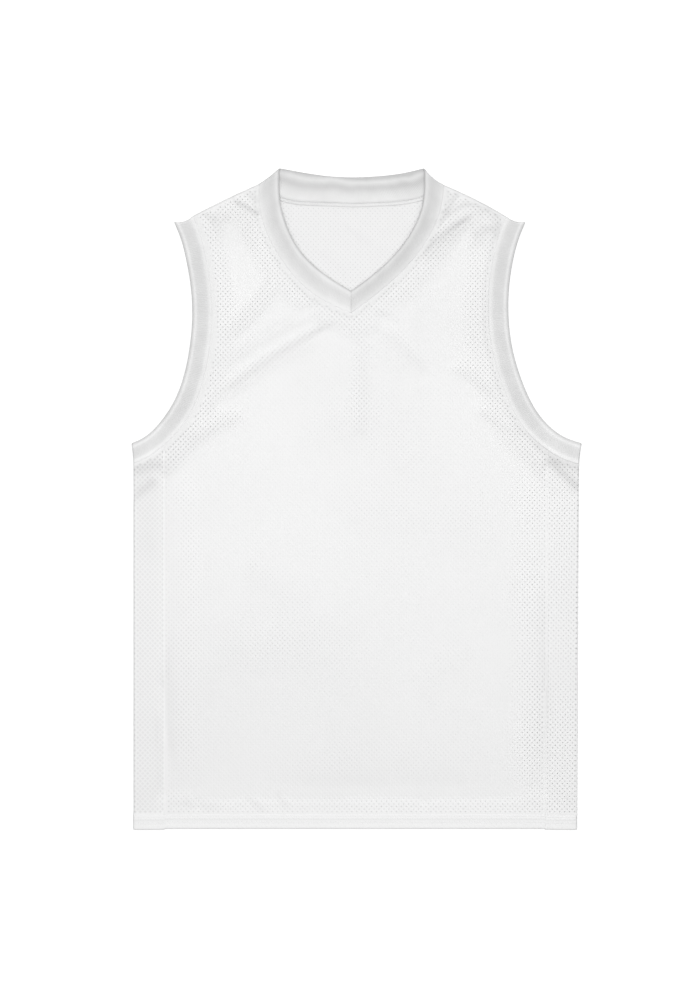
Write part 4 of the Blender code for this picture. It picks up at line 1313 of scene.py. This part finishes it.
def front_collar(side):
    """Outer places of one half of the front, from the V to the shoulder."""
    shares = even_shares(lambda share: front_neck_pair(side, share)[1], 0.0, 1.0)
    edge, seam = front_neck_pair(side, shares)
    plan = lerp(edge[:, None], seam[:, None], COLLAR_SHARE)
    clear = MITRE_ROOM * (1.0 - smooth(np.arange(len(plan)) / 6.0))
    plan[..., 0] += SIDES[side] * clear[:, None]
    least = MESH_WALL + LAYER_GAP + RIB_WALL
    top = front_top(plan.reshape(-1, 2), least).reshape(plan.shape[:2])
    return np.dstack([plan, top])


def collar_fold(side):
    """Line of the fold at one corner of the neck."""
    edge, seam = (line[0] for line in front_neck_pair(side, 1.0, 0.0, 0.0))
    line, share = seam - edge, COLLAR_SHARE[0]
    outward = unit(np.array([line[1], -line[0]]))
    outward = outward * np.sign(outward[1])
    return lerp(edge, seam, share) + CORNERS[side][6] * 4.0 * share * (1.0 - share) * outward


def collar_route():
    """Outer places and directions from the V round the neck and back to the V."""
    edge, seam = back_neck_pair(even_shares(lambda share: back_neck_pair(share)[1], 0.0, 1.0))
    back = lerp(edge[:, None], seam[:, None], COLLAR_SHARE)
    right, left = front_collar("right"), front_collar("left")
    over_right, over_left = (
        turn(front[-1, :, :2], collar_fold(side), row, front[-1, :, 2], TURN_STATIONS)
        for side, front, row in (("right", right, back[0]), ("left", left, back[-1])))
    points = np.concatenate([right, over_right[0], np.dstack([back, np.zeros(back.shape[:2])]),
                             over_left[0][::-1], left[::-1]])
    return points, np.concatenate([upright(right), over_right[1], -upright(back),
                                   over_left[1][::-1], upright(left)])


# %% Collar
# share of the collar's length from the right side of the V, and the painted light and shade
# there, with painted shadows at the neck's corners
COLLAR_ALONG_LIGHT_AND_SHADE = (
    (0.0, 1.08), (0.12, 1.02), (0.2, 1.0), (0.29, 1.0), (0.33, 0.955), (0.36, 0.985), (0.42, 1.0),
    (0.58, 1.0), (0.64, 0.98), (0.67, 0.94), (0.71, 0.965), (0.93, 0.965), (1.0, 1.0),
)
points, normals = collar_route()
place, faces = rib_strip(points, normals, False)
faces, uv = flipped(faces, strip_map(along(points[:, MIDDLE]), section_run))
# a fan of triangles closes each end
count, ends = len(SECTION), []
last = (len(points) - 1) * count
for first, order in ((0, range(count)), (last, range(count - 1, -1, -1))):
    hub, loop = first + MIDDLE, [first + k for k in order]
    ends += [(hub, a, b) for a, b in zip(loop, loop[1:] + loop[:1]) if hub not in (a, b)]
uv = np.vstack([uv, np.tile(uv[:1], (3 * len(ends), 1))])
neck_rib = rib_finish("collar_rib_knit", around_section(COLLAR_TONE_AND_SHADE), float(uv[:, 0].max()),
                      COLLAR_ALONG_LIGHT_AND_SHADE)
collar_rib = make_piece("collar_rib", place, faces.tolist() + ends, uv, ["neck_collar"], neck_rib)

# %% [markdown]
# ## The hem
# At the bottom the cloth is turned up and stitched with two rows. The tube of the hem is one
# strip again: round lower edge, a ridge, the flat between the two rows, and the turned-up end.

# %% Section and route of the hem
# up from the edge, depth under the outer face
HEM_SECTION = np.array((
    (0.0, 1.0), (0.12, 0.6), (0.4, 0.25), (1.0, 0.06), (2.2, 0.0), (4.4, 0.02), (6.2, 0.05),
    (7.2, 0.08), (7.8, 0.05), (8.8, 0.03), (9.8, 0.04), (10.8, 0.08), (11.8, 0.08), (13.0, 0.05),
    (14.0, 0.06), (14.5, 0.04), (15.3, 0.02), (16.1, 0.06), (16.5, 0.3),
    (16.3, 1.5), (14.5, 1.9), (9.0, 2.0), (3.0, 2.0), (0.9, 1.9), (0.2, 1.5),
))
STITCH_ROWS = (7.3, 14.0)
HEM_TURN_STEPS = 9


def hem_up(x, side_seams):
    """The front and the back end a little above the side panels."""
    rise = [smooth((limit - np.abs(x)) / 1.0 + 0.5) for limit in side_seams]
    return PANEL_HEM_UP * np.where(x < 0.0, rise[0], rise[1])


def hem_route(rows, step=2.0):
    """Outer places and directions round the whole hem, for rows at these heights."""
    (right_fold, right_seam), (left_fold, left_seam) = (side_lines(side, 0.0) for side in SIDES)
    ends = TURN_INSET - right_fold, left_fold - TURN_INSET
    x = np.linspace(*ends, int((ends[1] - ends[0]) / step))
    close = [seam + off for seam in (-right_seam, left_seam) for off in (-0.8, -0.3, 0.3, 0.8)]
    x = np.unique(np.round(np.concatenate([x, close]), 3))
    up = hem_up(x, (right_seam, left_seam))[:, None] + rows[None]
    plan = np.dstack([np.broadcast_to(x[:, None], up.shape), up])
    top = front_top(plan.reshape(-1, 2)).reshape(up.shape)

    def turned(end, fold):
        line = np.column_stack([np.full(len(rows), fold), rows])
        return turn(plan[end], line, plan[end], top[end], HEM_TURN_STEPS)

    left, right = turned(-1, left_fold), turned(0, -right_fold)
    points = np.concatenate([np.dstack([plan, top]), left[0],
                             np.dstack([plan, np.zeros(up.shape)])[::-1], right[0][::-1]])
    above = upright(plan)
    return points, np.concatenate([above, left[1], -above, right[1][::-1]])


# %% Hem
points, normals = hem_route(HEM_SECTION[:, 0])
place = points - normals * HEM_SECTION[None, :, 1:2]
place[..., 2] = np.maximum(place[..., 2], LOWEST)
faces, uv = flipped(grid_faces(*place.shape[:2], True, True),
                    strip_map(along(looped(points[:, 5])), along(looped(HEM_SECTION))))
hem_band = make_piece("hem_fold", place.reshape(-1, 3), faces, uv, [], hem_knit, bake_rows=8)

# %% [markdown]
# ## Stitches
# Lockstitch looks like a row of short beads of thread, each half sunk in the cloth. One bead is a
# six-sided capsule; it is copied along a line at an even pitch and turned to follow it.

# %% Thread
def thread_finish():
    material, tree, shader = new_finish("white_thread", 0.6, 0.05)
    _, run, around = uv_axes(tree, "cloth")
    strands = wave(tree, math_node(tree, "MULTIPLY_ADD", around, 1.6, run), 0.6)
    tone = math_node(tree, "MULTIPLY_ADD", strands, 0.5, 0.5)
    tree.links.new(ramp(tree, tone, ((0.0, 0.86), (1.0, 0.93))), shader.inputs["Base Color"])
    bump(tree, shader, strands, 0.06)
    return material


thread = thread_finish()
print("Finish of the stitches:", thread.name)


# %% One row of stitches
STITCH_PITCH, STITCH_LENGTH, THREAD = 2.9, 2.5, 0.27
# place along a stitch, and size beside the middle, of each ring of six points
STITCH_RINGS = ((-0.5, 0.35), (-0.36, 0.95), (0.0, 1.0), (0.36, 0.95), (0.5, 0.35))
STITCH_DIP = 0.18         # its two ends lie this much deeper


def stitch_row(line, normal, closed):
    """Capsules along a line of places, sunk halfway into the cloth."""
    if closed:
        line, normal = looped(line), looped(normal)
    run = along(line)
    count = int(run[-1] / STITCH_PITCH)
    at = (np.arange(count) + 0.5) * run[-1] / count

    def sample(where, values):
        return np.stack([np.interp(where, run, values[:, k]) for k in range(3)], axis=1)

    middle, up = sample(at, line), unit(sample(at, normal))
    ahead = unit(sample(at + 0.6, line) - sample(at - 0.6, line))
    side = np.cross(up, ahead)
    points = []
    for share, size in STITCH_RINGS:
        for k in range(6):
            turn_by = math.radians(60.0 * k)
            points.append(middle + ahead * share * STITCH_LENGTH
                          - up * (STITCH_DIP * abs(share) * 2.0)
                          + (side * math.cos(turn_by) + up * math.sin(turn_by)) * size * THREAD)
    points = np.stack(points, axis=1)
    caps = np.array([(3, 2, 1, 0), (5, 4, 3, 0), (25, 26, 27, 24), (27, 28, 29, 24)])
    quads = np.vstack([grid_faces(len(STITCH_RINGS), 6, False, True), caps])
    faces = (quads[None] + (np.arange(count) * 30)[:, None, None]).reshape(-1, 4)
    ring_at = np.repeat(np.array([r[0] for r in STITCH_RINGS]) * STITCH_LENGTH, 6)
    own = np.stack([ring_at, np.tile(np.arange(6), 5) * THREAD], axis=1)
    shift = np.stack([np.repeat(at, len(quads) * 4), np.zeros(count * len(quads) * 4)], axis=1)
    return points.reshape(-1, 3), faces, np.tile(own[quads.ravel()], (count, 1)) + shift


# %% Stitches of the hem
def stitches(name, rows):
    """One piece from several rows of stitches."""
    points, faces, uv, start = [], [], [], 0
    for p, f, m in rows:
        points.append(p)
        faces.append(f + start)
        uv.append(m + np.array([0.0, 3.0 * len(uv)]))
        start += len(p)
    return make_piece(name, np.vstack(points), np.vstack(faces), np.vstack(uv), [], thread,
                      bake_rows=6)


hem_points, hem_normals = hem_route(np.array(STITCH_ROWS), 1.0)
rows = []
for k, depth in enumerate(np.interp(STITCH_ROWS, HEM_SECTION[:19, 0], HEM_SECTION[:19, 1])):
    line = hem_points[:, k] - hem_normals[:, k] * (depth + 0.06)
    line[:, 2] = np.maximum(line[:, 2], THREAD)
    rows.append(stitch_row(line, hem_normals[:, k], True))
hem_stitches = stitches("hem_stitches", rows)

# %% [markdown]
# ## The neck tape
# A narrow tape covers the back neck's seam on the inside. It is folded in three, its weave runs
# slantwise, and a row of stitches holds each of its edges.

# %% Neck tape
# across, height over the tape's underside
TAPE_SECTION = np.array((
    (0.0, 0.45), (0.25, 0.72), (0.9, 0.8), (2.0, 0.83), (3.1, 0.8), (3.75, 0.72), (4.0, 0.45),
    (3.8, 0.0), (2.0, 0.0), (0.2, 0.0),
))
TAPE_LIES = MESH_WALL + LAYER_GAP       # height of its underside


def tape_finish():
    material, tree, shader = new_finish("woven_tape", 0.8, 0.08)
    _, run, across = uv_axes(tree, "cloth")
    twill = wave(tree, math_node(tree, "ADD", run, across), 0.7)
    tone = math_node(tree, "MULTIPLY_ADD", twill, 0.5, 0.5)
    tree.links.new(ramp(tree, tone, ((0.0, 0.79), (1.0, 0.86))), shader.inputs["Base Color"])
    bump(tree, shader, twill, 0.06)
    return material


def tape_lines(offsets):
    """Lines at these distances below the collar's back seam."""
    edge, seam = back_neck_pair(np.linspace(0.09, 0.91, 180), 0.0, 0.0)
    down = unit(seam - edge)
    return np.stack([seam + down * (offset - TUCK) for offset in offsets], axis=1)


tape_weave = tape_finish()
plan = tape_lines(TAPE_SECTION[:, 0])
stations, columns = plan.shape[:2]
height = np.broadcast_to(TAPE_LIES + TAPE_SECTION[:, 1], (stations, columns))
points = np.dstack([plan, height]).reshape(-1, 3)
last = (stations - 1) * columns
faces = grid_faces(stations, columns, False, True).tolist()
faces += [range(columns - 1, -1, -1), range(last, last + columns)]
run, across = along(plan[:, 0]), along(looped(TAPE_SECTION))
flat_map = np.stack(np.meshgrid(run, across[:-1], indexing="ij"), axis=2).reshape(-1, 2)
uv = flat_map[np.concatenate([np.array(f) for f in faces])]
neck_tape = make_piece("neck_tape", points, faces, uv, ["back_neck_tape"], tape_weave)

# %% Stitches of the tape
rows = []
for offset in (0.9, 3.1):
    line = tape_lines([offset])[:, 0]
    line = np.column_stack([line, np.full(len(line), TAPE_LIES + 0.86)])
    rows.append(stitch_row(line, np.tile([0.0, 0.0, 1.0], (len(line), 1)), False))
tape_stitches = stitches("tape_stitches", rows)

# %% [markdown]
# ## How big the cloth was cut
# The outlines are not rectangles. The front's flat width and length are worked out and printed;
# the lengths of the armhole bands, the collar's seam and the tape are worked out from the same
# lines that made the mesh.


def flat_size(lines, more=0.0):
    """Width and length of an outline in metres."""
    ring = np.vstack([line for _, line in lines])
    width, length = (ring.max(axis=0) - ring.min(axis=0)) * MM
    return width, length + more * MM


for side in SIDES:
    edge = side_outline(side)
    length = 2.0 * armhole_curve(side).length * MM
neck_length = (2.0 * front_neck("right", "seam").length + back_neck("seam").length) * MM
tape_length = along(tape_lines([0.0])[:, 0])[-1] * MM
print("Front cut:", [round(v, 3) for v in flat_size(outline)], "m")

# %% [markdown]
# ## Camera, ground and light
# The jersey is seen from straight above, from far enough away that its sides don't lean. The
# light is a large soft one over the chest and a sky that is brighter above than at the horizon,
# so that every fold has a light flank and a darker one.

# %% Camera
camera = bpy.data.objects.new("camera", bpy.data.cameras.new("camera"))
camera.data.lens, camera.data.sensor_width = 90.0, 36.0
camera.location = (-0.0074, -0.0013, 2.802)
bpy.context.collection.objects.link(camera)
bpy.context.scene.camera = camera

# %% Ground
def flat_sheet(name, corners, height, level, roughness, glow):
    """A flat piece of the stage, how light it is and how much it glows; and its shader."""
    mesh = bpy.data.meshes.new(name)
    points = [(x * MM, (y - LENGTH / 2.0) * MM, height * MM) for x, y in corners]
    mesh.from_pydata(points, [], [tuple(range(len(points)))])
    paint = bpy.data.materials.new(name)
    paint.use_nodes = True
    shader = paint.node_tree.nodes["Principled BSDF"]
    shader.inputs["Base Color"].default_value = (level, level, level, 1.0)
    shader.inputs["Roughness"].default_value = roughness
    shader.inputs["Emission Color"].default_value = (1.0, 1.0, 1.0, 1.0)
    shader.inputs["Emission Strength"].default_value = glow
    mesh.materials.append(paint)
    sheet = bpy.data.objects.new(name, mesh)
    bpy.context.collection.objects.link(sheet)
    return sheet, shader


FAR = 40000.0             # half the ground, in millimetres
ground, shader = flat_sheet("ground", [(-FAR, -FAR), (FAR, -FAR), (FAR, FAR), (-FAR, FAR)],
                            -0.5, 0.42, 1.0, 0.74)
shader.inputs["Specular IOR Level"].default_value = 0.0
ground.visible_diffuse = ground.visible_glossy = ground.visible_transmission = False
ground.visible_shadow = False

# %% [markdown]
# That ground is drawn flat and gives no light to the cloth. A real white table does: it sends
# light up through the mesh, more or less of it where more or less cloth lies on it. Five sheets
# of paper close under the jersey glow with painted light in its place, each as much as its place
# needs; the one under the neck is darker, for painted shade in the holes there. They can't be seen
# past its outline.

# %% Glowing paper under the jersey
def glowing_card(name, corners, level, glow):
    paper, _ = flat_sheet(name, corners, -0.3, level, 0.9, glow)


# each sheet's glow is painted light sent up through the holes, set for its place
glowing_card("card_low", [(-249, 4), (246, 4), (246.5, 404), (-248.5, 404)], 0.72, 0.42)
glowing_card("card_chest", [
    (-246, 404), (243, 404), (228, 436), (204, 456), (188, 481), (179, 503), (168, 537),
    (164, 590), (-178, 590), (-181, 537), (-189, 503), (-198, 481), (-213, 456), (-234, 436),
], 0.72, 0.42)
glowing_card("card_right", [(-178, 590), (-84, 590), (-84, 718), (-108, 714), (-184, 680)], 0.72, 0.51)
glowing_card("card_left", [(74, 590), (164, 590), (170, 678), (98, 713), (74, 718)], 0.72, 0.30)
# painted shade: a darker sheet under the neck, so that the holes there look darker
glowing_card("card_neck", [(-84, 590), (74, 590), (74, 716), (-84, 716)], 0.55, 0.16)

# %% Sky
world = bpy.data.worlds.new("studio")
bpy.context.scene.world = world
world.use_nodes = True
tree = world.node_tree
direction = tree.nodes.new("ShaderNodeTexCoord")
split = tree.nodes.new("ShaderNodeSeparateXYZ")
tree.links.new(direction.outputs["Generated"], split.inputs[0])
lean = math_node(tree, "MULTIPLY_ADD", split.outputs[1], 0.40, split.outputs[2])
lean = math_node(tree, "MULTIPLY_ADD", split.outputs[0], -0.03, lean)
place = math_node(tree, "MULTIPLY_ADD", lean, 0.5, 0.5)
sky = ramp(tree, place, ((0.0, 0.15), (0.45, 0.28), (0.62, 0.52), (1.0, 0.95)))
tree.links.new(sky, tree.nodes["Background"].inputs["Color"])
tree.nodes["Background"].inputs["Strength"].default_value = 1.0

# %% Lamp
lamp = bpy.data.objects.new("soft_lamp", bpy.data.lights.new("soft_lamp", "AREA"))
lamp.data.shape, lamp.data.size = "DISK", 1.1
lamp.data.energy = 5.65
lamp.location = (-0.03, 0.17, 1.10)
aim = Vector((-0.01, 0.06, 0.0)) - Vector(lamp.location)
lamp.rotation_euler = aim.to_track_quat("-Z", "Y").to_euler()
bpy.context.collection.objects.link(lamp)
bpy.context.scene.view_settings.view_transform = "Standard"
print("Lamp:", round(lamp.data.energy, 2), "W at", [round(v, 2) for v in lamp.location], "m")
